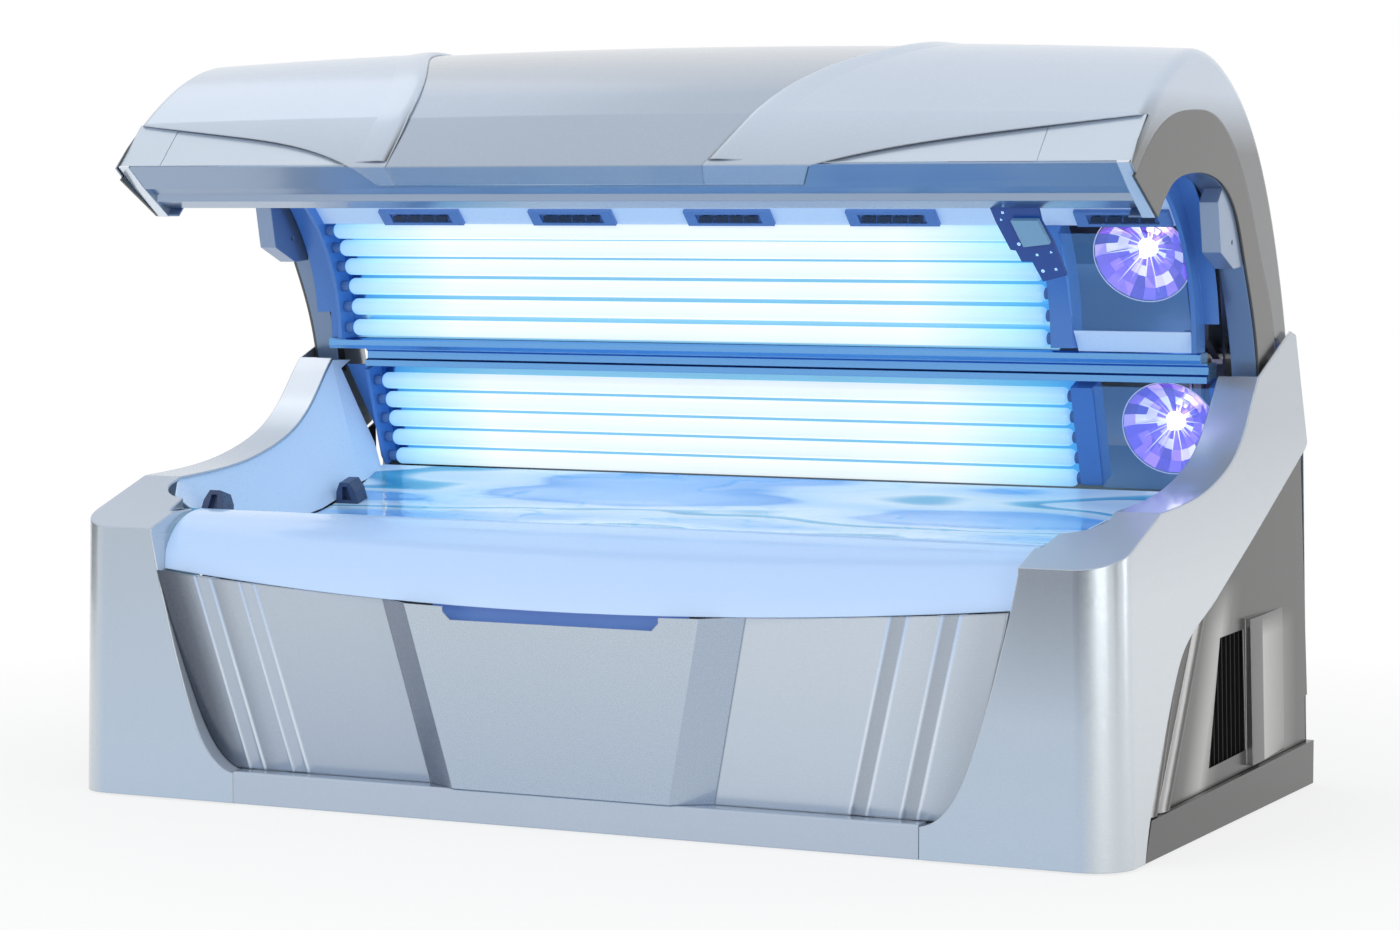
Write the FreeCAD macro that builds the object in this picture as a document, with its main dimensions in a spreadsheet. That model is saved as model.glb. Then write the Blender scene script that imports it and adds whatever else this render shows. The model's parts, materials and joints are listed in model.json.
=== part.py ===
import FreeCAD, Part
import math
import os
import Sketcher

# Clamshell tanning bed, millimetres and degrees.
# X runs along the bed (+X is the head end), -Y is the side the user gets in from, Z is up.
# The origin lies on the floor, below the middle of the whole bed.

V = FreeCAD.Vector
doc = FreeCAD.newDocument("TanningBed")

# ---------------------------------------------------------------- driving dimensions
SIZES = [
    # base, overall
    ("base_length", 2370), ("end_draft", 20), ("front_depth", 633), ("rear_depth", 627),
    ("outlet_depth", 53.55), ("floor_gap", 4), ("joint_gap", 0.4),
    ("foot_height", 24), ("foot_radius", 26), ("foot_stem_radius", 8),
    ("shell_wall", 5), ("panel_wall", 4), ("corner_radius", 88), ("edge_round", 3),
    # base shells
    ("cap_drop", 30), ("bench_height", 605), ("wing_height", 900), ("wing_tip_height", 989),
    ("tail_height", 748), ("pillar_width", 209), ("pillar_toe_width", 408), ("band_width", 90),
    ("pillar_return", 158), ("liner_lead_rise", 54), ("liner_lead_in", 40), ("side_recess", 12),
    ("wing_slope_y", 370), ("slot_front_y", 262),
    # plinths and front panels
    ("plinth_height", 72), ("plinth_depth", 42), ("side_plinth_front", 82), ("side_plinth_rear", 98),
    ("front_panel_top", 540), ("front_panel_setback", 43), ("front_lean", 42),
    ("door_proud", 48), ("door_half_bottom", 245), ("door_half_top", 331), ("door_top", 446),
    ("door_bevel", 78), ("grip_half", 243), ("grip_depth", 24), ("apron_gap", 1.2),
    ("flute_width", 52), ("flute_depth", 10), ("flute_outer", 749), ("flute_inner", 617),
    ("flute_slant", 62),
    # apron and bench
    ("apron_reach", 217), ("apron_top_setback", 181), ("apron_end_setback", 29),
    ("apron_mid_proud", 27), ("apron_end_z", 490), ("apron_mid_z", 447), ("apron_wall", 5),
    ("end_width", 185), ("bench_rear_y", 362), ("bench_rear_z", 648), ("bench_sag", 60),
    ("acrylic_wall", 5), ("bench_lamp_drop", 46), ("tray_drop", 74), ("tray_wall", 2),
    ("bench_lamp_count", 13),
    ("nozzle_width", 58), ("nozzle_height", 50), ("nozzle_depth", 44), ("nozzle_setback", 38),
    ("nozzle_rear_y", 140),
    # lamps
    ("lamp_radius", 19), ("foot_socket", 20), ("post_socket", 15),
    ("tunnel_y", 200), ("tunnel_z", 950), ("lamp_circle", 410), ("reflector_gap", 11),
    ("lamp_first_angle", 3.6), ("lamp_pitch_angle", 6.76), ("wall_lamp_count", 6),
    ("ceiling_first_angle", 58), ("ceiling_lamp_count", 9),
    ("rear_lamp_top_y", 338), ("rear_lamp_top_z", 848), ("rear_lamp_low_y", 400),
    ("rear_lamp_low_z", 668), ("rear_lamp_count", 5), ("holder_width", 30), ("tray_cheek", 3),
    # facial bays
    ("bay_width", 259), ("bay_lap", 44), ("post_width", 50), ("bowl_radius", 102),
    ("bowl_depth", 44), ("bowl_wall", 2), ("bulb_radius", 16), ("rail_rise", 36),
    ("lower_bowl_share", 0.36), ("glass_wall", 4),
    # canopy
    ("canopy_clearance", 15), ("skin_wall", 4), ("arch_wall", 6), ("canopy_top", 1566),
    ("canopy_crown", 28), ("lip_front_y", 500), ("lip_front_z", 1335), ("lip_bottom_y", 349),
    ("lip_bottom_z", 1250), ("brow_top_y", 408), ("brow_top_z", 1432), ("flange_y", 452),
    ("flange_z", 1299), ("facet_step", 5), ("facet_lap", 16),
    ("lip_wall", 4), ("skin_tail_y", 530), ("skin_tail_z", 935), ("left_facet_reach", 671),
    ("right_facet_reach", 910),
    ("canopy_end_round", 24), ("brow_recess", 5), ("left_brow_reach", 594),
    ("right_brow_reach", 670),
    ("left_seam_reach", 108), ("right_seam_reach", 195),
    ("canopy_tube", 40), ("rib_wall", 8), ("rib_x", 340),
    ("strip_first_angle", 40.6), ("strip_last_angle", 52),
    ("vent_length", 205), ("vent_pitch", 382), ("vent_first", 167), ("bay_vent", 40),
    ("rail_end_gap", 21), ("handle_width", 40), ("end_frame_width", 10),
    # hinge and gas springs
    ("hinge_y", 460), ("hinge_z", 950), ("hinge_outset", 10), ("pin_radius", 10),
    ("pin_clearance", 0.05), ("arm_wall", 16), ("arm_round", 22), ("cheek_wall", 6),
    ("post_size", 40), ("hinge_post_top", 918),
    ("spring_offset", 41), ("spring_base_y", 460), ("spring_base_z", 620),
    ("spring_top_y", 390), ("spring_top_z", 980), ("spring_radius", 13), ("rod_radius", 5),
    ("spring_eye_radius", 13), ("spring_pin_radius", 5), ("spring_slack", 3),
    # fans
    ("blower_inset", 180), ("blower_y", 150), ("blower_z", 265), ("blower_radius", 118),
    ("blower_width", 130), ("wheel_radius", 92), ("wheel_width", 92), ("shaft_radius", 8),
    ("blade_count", 16), ("canopy_fan_inset", 330), ("canopy_fan_y", 120), ("canopy_fan_radius", 78),
    # base frame
    ("tube", 40), ("frame_low", 30), ("frame_setback", 73), ("frame_end_gap", 70),
    ("bench_rail_drop", 76), ("side_rail_width", 28), ("frame_rear_gap", 67), ("foot_cross_x", 380),
    ("head_cross_x", 340),
    ("ballast_inset", 100), ("ballast_pitch", 128),
]

sheet = doc.addObject("Spreadsheet::Sheet", "Sizes")
for row, (alias, value) in enumerate(SIZES, start=1):
    sheet.set("A%d" % row, alias)
    sheet.set("B%d" % row, str(value))
    sheet.setAlias("B%d" % row, alias)
doc.recompute()


def size(alias):
    """The value of one named cell."""
    return float(sheet.get(alias))


def evaluate(expression):
    """The value of an expression on the sheet's cells."""
    return float(sheet.evalExpression(expression))


# ---------------------------------------------------------------- building helpers
def node(label, shape):
    """A sub-part whose shape is worked out from the sheet."""
    feature = doc.addObject("Part::Feature", label)
    feature.Label = label
    feature.Shape = shape
    return feature


def bound_sketch(body, name, role, points, offset="0"):
    """A closed polygon sketch whose corners are expressions on the sheet."""
    sketch = body.newObject("Sketcher::SketchObject", name)
    plane = next(item for item in body.Origin.OriginFeatures if item.Role == role)
    sketch.AttachmentSupport = [(plane, "")]
    sketch.MapMode = "FlatFace"
    values = [(evaluate(first), evaluate(second)) for first, second in points]
    count = len(points)
    for index in range(count):
        start = V(*values[index], 0)
        end = V(*values[(index + 1) % count], 0)
        sketch.addGeometry(Part.LineSegment(start, end), False)
    for index in range(count):
        sketch.addConstraint(Sketcher.Constraint("Coincident", index, 2, (index + 1) % count, 1))
    for index in range(count):
        for kind, axis in (("DistanceX", 0), ("DistanceY", 1)):
            rule = Sketcher.Constraint(kind, -1, 1, index, 1, values[index][axis])
            number = sketch.addConstraint(rule)
            sketch.setExpression("Constraints[%d]" % number, points[index][axis])
    sketch.setExpression("AttachmentOffset.Base.z", offset)
    return sketch


def pad_body(label, role, points, length, offset="0"):
    """A PartDesign body: one bound polygon padded by a bound length."""
    body = doc.addObject("PartDesign::Body", label)
    body.Label = label
    sketch = bound_sketch(body, label + "_sketch", role, points, offset)
    pad = body.newObject("PartDesign::Pad", label + "_pad")
    pad.Profile = sketch
    pad.setExpression("Length", length)
    sketch.Visibility = False
    return body


def cylinder(name, radius, length, base, axis):
    """A Part cylinder with bound sizes and a bound base point (expressions)."""
    item = doc.addObject("Part::Cylinder", name)
    item.setExpression("Radius", radius)
    item.setExpression("Height", length)
    item.Placement = FreeCAD.Placement(V(0, 0, 0), FreeCAD.Rotation(V(0, 0, 1), axis))
    for letter, expression in zip("xyz", base):
        item.setExpression("Placement.Base.%s" % letter, expression)
    return item


def compound(label, items):
    """One node that holds several separate solids."""
    group = doc.addObject("Part::Compound", label)
    group.Label = label
    group.Links = items
    return group


def wire(pieces, place):
    """A wire from pieces of two or more points; three or more points make a curve."""
    edges = []
    for points in pieces:
        spots = [place(*point) for point in points]
        if len(spots) == 2:
            edges.append(Part.makeLine(*spots))
        else:
            curve = Part.BSplineCurve()
            curve.interpolate(spots)
            edges.append(curve.toShape())
    return Part.Wire(edges)


def dense(points, count):
    """Evenly spread points on the smooth curve through a few given ones."""
    curve = Part.BSplineCurve()
    curve.interpolate([V(first, second, 0) for first, second in points])
    return [(spot.x, spot.y) for spot in curve.discretize(count)]


def in_side(x):
    """Places (y, z) points in the plane at x."""
    return lambda y, z: V(x, y, z)


def in_front(y):
    """Places (x, z) points in the plane at y."""
    return lambda x, z: V(x, y, z)


def in_plan(z):
    """Places (x, y) points in the plane at z."""
    return lambda x, y: V(x, y, z)


def prism(pieces, place, direction):
    """A closed outline swept along a direction."""
    return Part.Face(wire(pieces, place)).extrude(direction)


def side_prism(pieces, x_low, x_high):
    return prism(pieces, in_side(x_low), V(x_high - x_low, 0, 0))


def front_prism(pieces, y_low, y_high):
    return prism(pieces, in_front(y_low), V(0, y_high - y_low, 0))


def plan_prism(pieces, z_low, z_high):
    return prism(pieces, in_plan(z_low), V(0, 0, z_high - z_low))


def closed(points):
    """The straight pieces of a closed polygon."""
    return [[points[i], points[(i + 1) % len(points)]] for i in range(len(points))]


def side_normals(points):
    """The unit normal on the right-hand side of each segment of an open run."""
    normals = []
    for first, second in zip(points, points[1:]):
        run = math.hypot(second[0] - first[0], second[1] - first[1])
        normals.append(((second[1] - first[1]) / run, -(second[0] - first[0]) / run))
    return normals


def inset(points, distance):
    """Moves an open run to its right-hand side by a distance, with mitred corners."""
    normals = side_normals(points)
    moved = []
    for i, point in enumerate(points):
        first = normals[max(i - 1, 0)]
        second = normals[min(i, len(normals) - 1)]
        share = distance / (1 + first[0] * second[0] + first[1] * second[1])
        moved.append((point[0] + share * (first[0] + second[0]),
                      point[1] + share * (first[1] + second[1])))
    return moved


def folded(run, thick):
    """The outline of a bent sheet whose outer face follows a run."""
    back = inset(run, -thick)
    return closed(list(run) + list(reversed(back)))


def box(x0, x1, y0, y1, z0, z1):
    return Part.makeBox(x1 - x0, y1 - y0, z1 - z0, V(x0, y0, z0))


def rod(start, end, radius):
    """A round bar between two points."""
    run = V(*end) - V(*start)
    return Part.makeCylinder(radius, run.Length, V(*start), run)


def mirrored(shape):
    """The same shape at the other end of the bed."""
    return shape.mirror(V(0, 0, 0), V(1, 0, 0))


def fused(shapes):
    whole = shapes[0].fuse(shapes[1:])
    return whole.removeSplitter()


def polar(angle, radius):
    """A point on a circle round the middle of the tunnel, as (y, z)."""
    turn = math.radians(angle)
    return (-size("tunnel_y") + radius * math.cos(turn), size("tunnel_z") + radius * math.sin(turn))


def arc_sheet(radius, wall, first, last, x_low, x_high):
    """A curved sheet round the tunnel, between two angles."""
    angles = (first, (first + last) / 2, last)
    inner = [V(x_low, *polar(angle, radius)) for angle in angles]
    outer = [V(x_low, *polar(angle, radius + wall)) for angle in reversed(angles)]
    edges = [
        Part.Arc(*inner).toShape(),
        Part.makeLine(inner[-1], outer[0]),
        Part.Arc(*outer).toShape(),
        Part.makeLine(outer[-1], inner[0]),
    ]
    return Part.Face(Part.Wire(edges)).extrude(V(x_high - x_low, 0, 0))


# ---------------------------------------------------------------- shared values
half = size("base_length") / 2
upper_half = half - size("end_draft")
canopy_half = upper_half - size("canopy_clearance")
band_inner = upper_half - size("band_width")
bench_half = half - size("end_width")
bay_right = bench_half + size("bay_lap")
bay_left = bay_right - size("bay_width")
post_left = bay_left - size("post_width")
front = -size("front_depth")
apron_top_y = size("front_depth") - size("apron_top_setback")
pillar_height = size("bench_height") - size("cap_drop")
gap = size("joint_gap")
wall = size("shell_wall")
hinge_x = bench_half + size("hinge_outset")
spring_x = hinge_x - size("spring_offset")
LAMP_START = "-Sizes.base_length / 2 + Sizes.end_width + Sizes.foot_socket"
LAMP_LENGTH = ("Sizes.base_length - 2 * Sizes.end_width + Sizes.bay_lap - Sizes.bay_width"
               " - Sizes.post_width - Sizes.post_socket - Sizes.foot_socket")
lamp_x = evaluate(LAMP_START)
lamp_end = lamp_x + evaluate(LAMP_LENGTH)
frame_front = front + size("frame_setback")
frame_rear = size("rear_depth") - size("frame_rear_gap")
frame_end = half - size("frame_end_gap")
bench_rail_top = size("bench_height") - size("bench_rail_drop")
BEYOND = 400


# ---------------------------------------------------------------- base end shells
def wing_curve():
    """The top edge of the wing, from the pillar's slope up to the slot of the canopy."""
    start_y, start_z = -size("wing_slope_y"), size("bench_height") + 60
    end_y, end_z = size("slot_front_y"), size("wing_height")
    shape = [(0, 0), (0.19, 0.026), (0.396, 0.081), (0.585, 0.191), (0.736, 0.345),
             (0.846, 0.553), (0.94, 0.83), (1, 1)]
    return [(start_y + u * (end_y - start_y), start_z + v * (end_z - start_z)) for u, v in shape]


def boundary_curve():
    """The lower rear edge of the light shell, from its diagonal down to the floor."""
    return [(-21, 475), (-184, 417), (-254, 379), (-305, 323), (-355, 251), (-420, 148),
            (-456, 87), (-490, size("floor_gap"))]


def drafted_block(shrink):
    """The outer envelope of the base end: it tapers upwards and has a round front corner."""
    wires = []
    for z, reach in ((0, half), (size("wing_tip_height") + 20, upper_half - 2)):
        x = reach - shrink
        y = front + shrink
        radius = size("corner_radius") - shrink
        corner = radius * (1 - math.sqrt(0.5))
        edges = [
            Part.makeLine(V(0, y, z), V(x - radius, y, z)),
            Part.Arc(V(x - radius, y, z), V(x - corner, y + corner, z), V(x, y + radius, z)).toShape(),
            Part.makeLine(V(x, y + radius, z), V(x, BEYOND * 2, z)),
            Part.makeLine(V(x, BEYOND * 2, z), V(0, BEYOND * 2, z)),
            Part.makeLine(V(0, BEYOND * 2, z), V(0, y, z)),
        ]
        wires.append(Part.Wire(edges))
    return Part.makeLoft(wires, True, True)


def pillar_edge():
    """The curved inner edge of the pillar in front view, from top to bottom."""
    top = half - size("pillar_width")
    toe = half - size("pillar_toe_width")
    shape = [(0, 0), (0.09, 0.17), (0.276, 0.47), (0.447, 0.70), (0.587, 0.845), (0.735, 0.937),
             (0.94, 0.995), (1, 1)]
    low = size("plinth_height") - 4
    drop = pillar_height - 14 - low
    return [(top + u * (toe - top), low + drop * (1 - v)) for u, v in shape]


def light_side_outline():
    """The light shell in side view."""
    curve = wing_curve()
    edge = boundary_curve()
    tip_z = size("wing_tip_height")
    corner = (front, size("floor_gap"))
    return [
        [corner, (front, pillar_height)],
        [(front, pillar_height), curve[0]],
        curve,
        [curve[-1], (491, tip_z)],
        [(491, tip_z), (528, tip_z - 8)],
        [(528, tip_z - 8), (603, size("tail_height"))],
        [(603, size("tail_height")), (588, size("tail_height") - 14)],
        [(588, size("tail_height") - 14), (225, 577)],
        [(225, 577), edge[0]],
        edge,
        [edge[-1], corner],
    ]


def inner_side_outline():
    """The hollow of the base end in side view, one wall in from the front and the top."""
    curve = inset(wing_curve(), wall)
    slope = (front + wall, pillar_height - wall * 0.8)
    return closed_curve([
        [(front + wall, -BEYOND), slope],
        [slope, curve[0]],
        curve,
        [curve[-1], (curve[-1][0], BEYOND * 4)],
        [(curve[-1][0], BEYOND * 4), (BEYOND * 3, BEYOND * 4)],
        [(BEYOND * 3, BEYOND * 4), (BEYOND * 3, -BEYOND)],
    ])


def closed_curve(pieces):
    """Joins the last point of an outline to its first."""
    return pieces + [[pieces[-1][-1], pieces[0][0]]]


def front_region(shift, y_low, y_high):
    """The pillar's region in front view, with its inner edge moved out by shift."""
    edge = [(x + shift, z) for x, z in pillar_edge()]
    toe_x = edge[-1][0]
    top_x = edge[0][0]
    low = -BEYOND if shift > 0 else 0
    return front_prism([
        [(top_x, size("bench_height")), edge[0]],
        edge,
        [edge[-1], (toe_x, low)],
        [(toe_x, low), (half + BEYOND, low)],
        [(half + BEYOND, low), (half + BEYOND, size("bench_height"))],
        [(half + BEYOND, size("bench_height")), (top_x, size("bench_height"))],
    ], y_low, y_high)


def plan_region(shift):
    """The top's region in plan: the pillar cap and the narrow band of the wing."""
    top_x = half - size("pillar_width") + shift
    back = front + size("pillar_return")
    band = band_inner if not shift else 0
    turn = [(top_x + 24, back), (band_inner - 30 + shift, back + 20 + shift),
            (band_inner - 6 + shift, back + 48 + shift), (band_inner + shift, back + 90 + shift)]
    pieces = [
        [(top_x, front - 10), turn[0]],
        turn,
    ]
    if shift:
        pieces.append([turn[-1], (band, turn[-1][1])])
    pieces += [
        [pieces[-1][-1], (band, BEYOND * 3)],
        [(band, BEYOND * 3), (half + BEYOND, BEYOND * 3)],
        [(half + BEYOND, BEYOND * 3), (half + BEYOND, front - 10)],
        [(half + BEYOND, front - 10), (top_x, front - 10)],
    ]
    low = size("bench_height") - 15 if not shift else -BEYOND
    return plan_prism(pieces, low, BEYOND * 4)


def frame_notches():
    """Clearance cuts where the frame's rails pass the pillar's inner wall."""
    tube = size("tube")
    y_low = frame_front - gap
    y_high = frame_front + tube + gap
    tall = tube + 2 * gap
    return [Part.makeBox(frame_end + gap, y_high - y_low, tall, V(0, y_low, low - gap))
            for low in (size("frame_low"), bench_rail_top - tube)]


def normal_at(face, edge):
    """The face's outward normal at the middle of one of its edges."""
    spot = edge.valueAt((edge.FirstParameter + edge.LastParameter) / 2)
    return face.normalAt(*face.Surface.parameter(spot))


def touched_edge(first, second):
    """True for the normals of an edge that a hand meets: round the top or down the pillar."""
    upper, lower = (first, second) if first.z > second.z else (second, first)
    if upper.z > 0.3 and lower.z <= 0.3:
        return lower.x > 0.9 or lower.y < -0.3 or lower.x < -0.5
    facing, inner = (first, second) if first.y < second.y else (second, first)
    return facing.y < -0.9 and inner.x < -0.1 and inner.z < 0.95


def rounded(block, radius):
    """Rounds the sharp edges of a solid that a hand meets."""
    edges = []
    for edge in block.Edges:
        first, second = [normal_at(face, edge) for face in block.ancestorsOfType(edge, Part.Face)]
        if first.dot(second) < 0.9 and touched_edge(first, second):
            edges.append(edge)
    return block.makeFillet(radius, edges)


def end_shell():
    """The light shell of the head end: pillar, cap and wing in one moulding."""
    back = front + size("pillar_return")
    outer = side_prism(light_side_outline(), half - size("pillar_toe_width") - 50, half + 50)
    outer = outer.common(drafted_block(0))
    toe = box(upper_half - 60, half + 50, front - 10, BEYOND * 2, 0, size("bench_height"))
    envelope = front_region(0, front - 10, back).fuse([toe, plan_region(0)])
    outer = rounded(outer.common(envelope).removeSplitter().Solids[0], size("edge_round"))
    hollow = side_prism(inner_side_outline(), 0, half + 50).common(drafted_block(wall))
    opening = front_region(wall, front - 10, back - wall)
    deep = box(band_inner, half + 50, back - wall - 1, BEYOND * 2, -BEYOND, BEYOND * 4)
    below = box(0, half, back - wall - 1, BEYOND * 2, -BEYOND, size("bench_height") - 16)
    cap = plan_region(wall).common(side_prism(inner_side_outline(), 0, half + 50))
    hollow = hollow.common(opening.fuse([deep, below, cap]))
    return outer.cut(hollow).cut(Part.makeCompound(frame_notches()))


light_shell = end_shell()
node("end_shell_right", light_shell)
node("end_shell_left", mirrored(light_shell))


def panel_face_x(z):
    """The outer face of the dark side panel, which follows the draft of the shells."""
    return half - size("side_recess") - size("end_draft") * z / size("wing_height")


def raised_rib(z, flank, back):
    """A closed section of a raised shape on the side panel, at one height."""
    x = panel_face_x(z)
    spots = [V(x + proud, y, z) for y, proud in flank]
    root = [V(x - back, flank[-1][0], z), V(x - back, flank[0][0], z)]
    curve = Part.BSplineCurve()
    curve.interpolate(spots)
    edges = [curve.toShape(), Part.makeLine(spots[-1], root[0]), Part.makeLine(*root),
             Part.makeLine(root[1], spots[0])]
    return Part.Wire(edges)


def scoop_rib(z, proud):
    """The scoop behind the air intake: a sharp front edge that fades to the rear."""
    return raised_rib(z, [(185, proud), (250, proud * 0.86), (340, proud * 0.5), (450, 0)], 2)


def flute_rib(z, first, last, proud):
    """One convex upright flute near the light shell."""
    return raised_rib(z, [(first, 0), ((first + last) / 2, proud), (last, 0)], 2)


def dark_side_panel():
    """The dark side panel below the light shell, with its air scoop and flutes."""
    edge = boundary_curve()
    low_front = size("side_plinth_front")
    low_rear = size("side_plinth_rear")
    tail = size("tail_height") - 14
    rear = size("rear_depth")
    clear = gap * 2
    edge = [point for point in edge if point[1] > low_front]
    edge = [(y + clear, z - clear) for y, z in edge]
    foot = (edge[-1][0] - 4, low_front + gap)
    outline = [
        [(588 + clear, tail - clear), (225 + clear, 577 - clear)],
        [(225 + clear, 577 - clear), edge[0]],
        edge,
        [edge[-1], foot],
        [foot, (rear - 24, low_rear + gap)],
        [(rear - 24, low_rear + gap), (rear - 24, 195)],
        [(rear - 24, 195), (rear - 6, 197)],
        [(rear - 6, 197), (588 + clear, tail - clear)],
    ]
    region = side_prism(outline, upper_half - 90, half + 50)
    recess = size("side_recess")
    sheet_solid = drafted_block(recess).cut(drafted_block(recess + size("panel_wall")))
    panel = region.common(sheet_solid)
    scoop = Part.makeLoft([scoop_rib(low_rear + 4, 15), scoop_rib(405, 13)], True, True)
    flutes = [
        Part.makeLoft([flute_rib(low_front + 2, -452, -386, 10), flute_rib(360, -290, -252, 8)],
                      True, True),
        Part.makeLoft([flute_rib(low_front + 2, -384, -314, 11), flute_rib(475, -112, -52, 8)],
                      True, True),
    ]
    ribs = region.common(scoop.fuse(flutes))
    panel = panel.fuse(ribs)
    window = closed([(19, 383), (173, 385), (182, 134), (-63, 128)])
    return panel.cut(side_prism(window, upper_half - 90, half + 50)).removeSplitter()


dark_panel = dark_side_panel()
node("side_panel_right", dark_panel)
node("side_panel_left", mirrored(dark_panel))


def intake_grille():
    """Dark mesh plate behind the air intake, with upright slats."""
    x = panel_face_x(size("bench_height")) - size("panel_wall") - 12
    outline = closed([(0, 400), (196, 402), (202, 118), (-86, 112)])
    plate = side_prism(outline, x - 3, x)
    slats = [box(x - 1, half, -72 + i * 28, -67 + i * 28, 112, 402) for i in range(10)]
    room = side_prism(outline, x - 3, half)
    room = room.common(drafted_block(size("side_recess") + size("panel_wall") + gap))
    return plate.fuse([slat.common(room) for slat in slats]).removeSplitter()


grille = intake_grille()
compound_grilles = Part.makeCompound([grille, mirrored(grille)])
node("intake_grilles", compound_grilles)

# ---------------------------------------------------------------- plinths and feet
pad_body("front_plinth", "YZ_Plane", [
    ("-Sizes.front_depth", "Sizes.floor_gap"),
    ("-Sizes.front_depth + Sizes.plinth_depth", "Sizes.floor_gap"),
    ("-Sizes.front_depth + Sizes.plinth_depth", "Sizes.plinth_height"),
    ("-Sizes.front_depth + 3", "Sizes.plinth_height"),
    ("-Sizes.front_depth", "Sizes.plinth_height - 3"),
], "Sizes.base_length - 2 * Sizes.pillar_toe_width - 2 * Sizes.joint_gap",
    "-Sizes.base_length / 2 + Sizes.pillar_toe_width + Sizes.joint_gap")


def side_plinths():
    """The dark skirting boards under the side panels."""
    toe = boundary_curve()[-1][0] + 1
    heel = boundary_curve()[-2][0] + 3
    tail = size("rear_depth") - 3 - gap
    outline = closed([(toe, size("floor_gap")), (tail, size("floor_gap")),
                      (tail, size("side_plinth_rear")),
                      (heel, size("side_plinth_front"))])
    board = side_prism(outline, half - 34, half - 1)
    return Part.makeCompound([board, mirrored(board)])


node("side_plinths", side_plinths())

feet = []
for index, (side, spot) in enumerate([(-1, -1), (0, -1), (1, -1), (-1, 1), (0, 1), (1, 1)]):
    centre_x = "%d * (Sizes.base_length / 2 - 90)" % side
    centre_y = "%d * (Sizes.front_depth - 93)" % spot
    disc = cylinder("foot_disc_%d" % index, "Sizes.foot_radius", "Sizes.foot_height - 14",
                    (centre_x, centre_y, "0"), V(0, 0, 1))
    stem = cylinder("foot_stem_%d" % index, "Sizes.foot_stem_radius", "14 + 6",
                    (centre_x, centre_y, "Sizes.foot_height - 14"), V(0, 0, 1))
    foot = doc.addObject("Part::Fuse", "foot_%d" % index)
    foot.Base = disc
    foot.Tool = stem
    feet.append(foot)
compound("levelling_feet", feet)


# ---------------------------------------------------------------- base frame
def base_frame():
    """Welded square tube: floor ring, uprights, bench rails, hinge posts."""
    tube = size("tube")
    low = size("frame_low")
    frame_x = frame_end
    y_front, y_rear = frame_front, frame_rear
    pieces = []
    for y in (y_front, y_rear - tube):
        pieces.append(box(-frame_x, frame_x, y, y + tube, low, low + tube))
    for x in (-frame_x, -size("foot_cross_x"), size("head_cross_x"), frame_x - tube):
        pieces.append(box(x, x + tube, y_front, y_rear, low, low + tube))
    rail_top = bench_rail_top
    for x in (-frame_x + 20, frame_x - tube - 20):
        pieces.append(box(x, x + tube, y_front, y_front + tube, low + tube, rail_top))
    pieces.append(box(-frame_x + 20, frame_x - 20, y_front, y_front + tube, rail_top - tube, rail_top))
    post = size("post_size")
    for side in (-1, 1):
        x = side * hinge_x
        y = size("hinge_y") - post / 2
        pieces.append(box(x - post / 2, x + post / 2, y, y + post, low, size("hinge_post_top")))
        rail = sorted((side * (bench_half + gap), side * (bench_half + gap + size("side_rail_width"))))
        pieces.append(box(rail[0], rail[1], y_front, y + post, rail_top - tube, rail_top))
        pieces.append(box(x - post / 2, x + post / 2, y, y_rear, low, low + tube))
    y = size("hinge_y") - post / 2
    pieces.append(box(-hinge_x, hinge_x, y, y + post, rail_top - tube, rail_top))
    return fused(pieces)


node("base_frame", base_frame())


# ---------------------------------------------------------------- front of the base
def panel_front_y(z):
    """The leaning face of the side front panels."""
    rise = (z - size("plinth_height")) / (size("door_top") - size("plinth_height"))
    return front + size("front_panel_setback") - size("front_lean") * rise


apron_half = half - size("apron_reach")


def apron_low(x):
    """The lower edge of the apron, as (y, z), which sags towards the middle."""
    share = 1 - (x / apron_half) ** 2
    y = front + size("apron_end_setback")
    y -= (size("apron_end_setback") + size("apron_mid_proud")) * share
    z = size("apron_end_z") - (size("apron_end_z") - size("apron_mid_z")) * share
    return (y, z)


def below_apron(x_low, x_high):
    """The room in front view that reaches up to the apron's lower edge."""
    steps = 6
    edge = []
    for i in range(steps + 1):
        x = x_low + (x_high - x_low) * i / steps
        edge.append((x, apron_low(x)[1] - size("apron_gap")))
    return front_prism([edge, [edge[-1], (x_high, 0)], [(x_high, 0), (x_low, 0)],
                        [(x_low, 0), edge[0]]], front - 150, front + 150)


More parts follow.
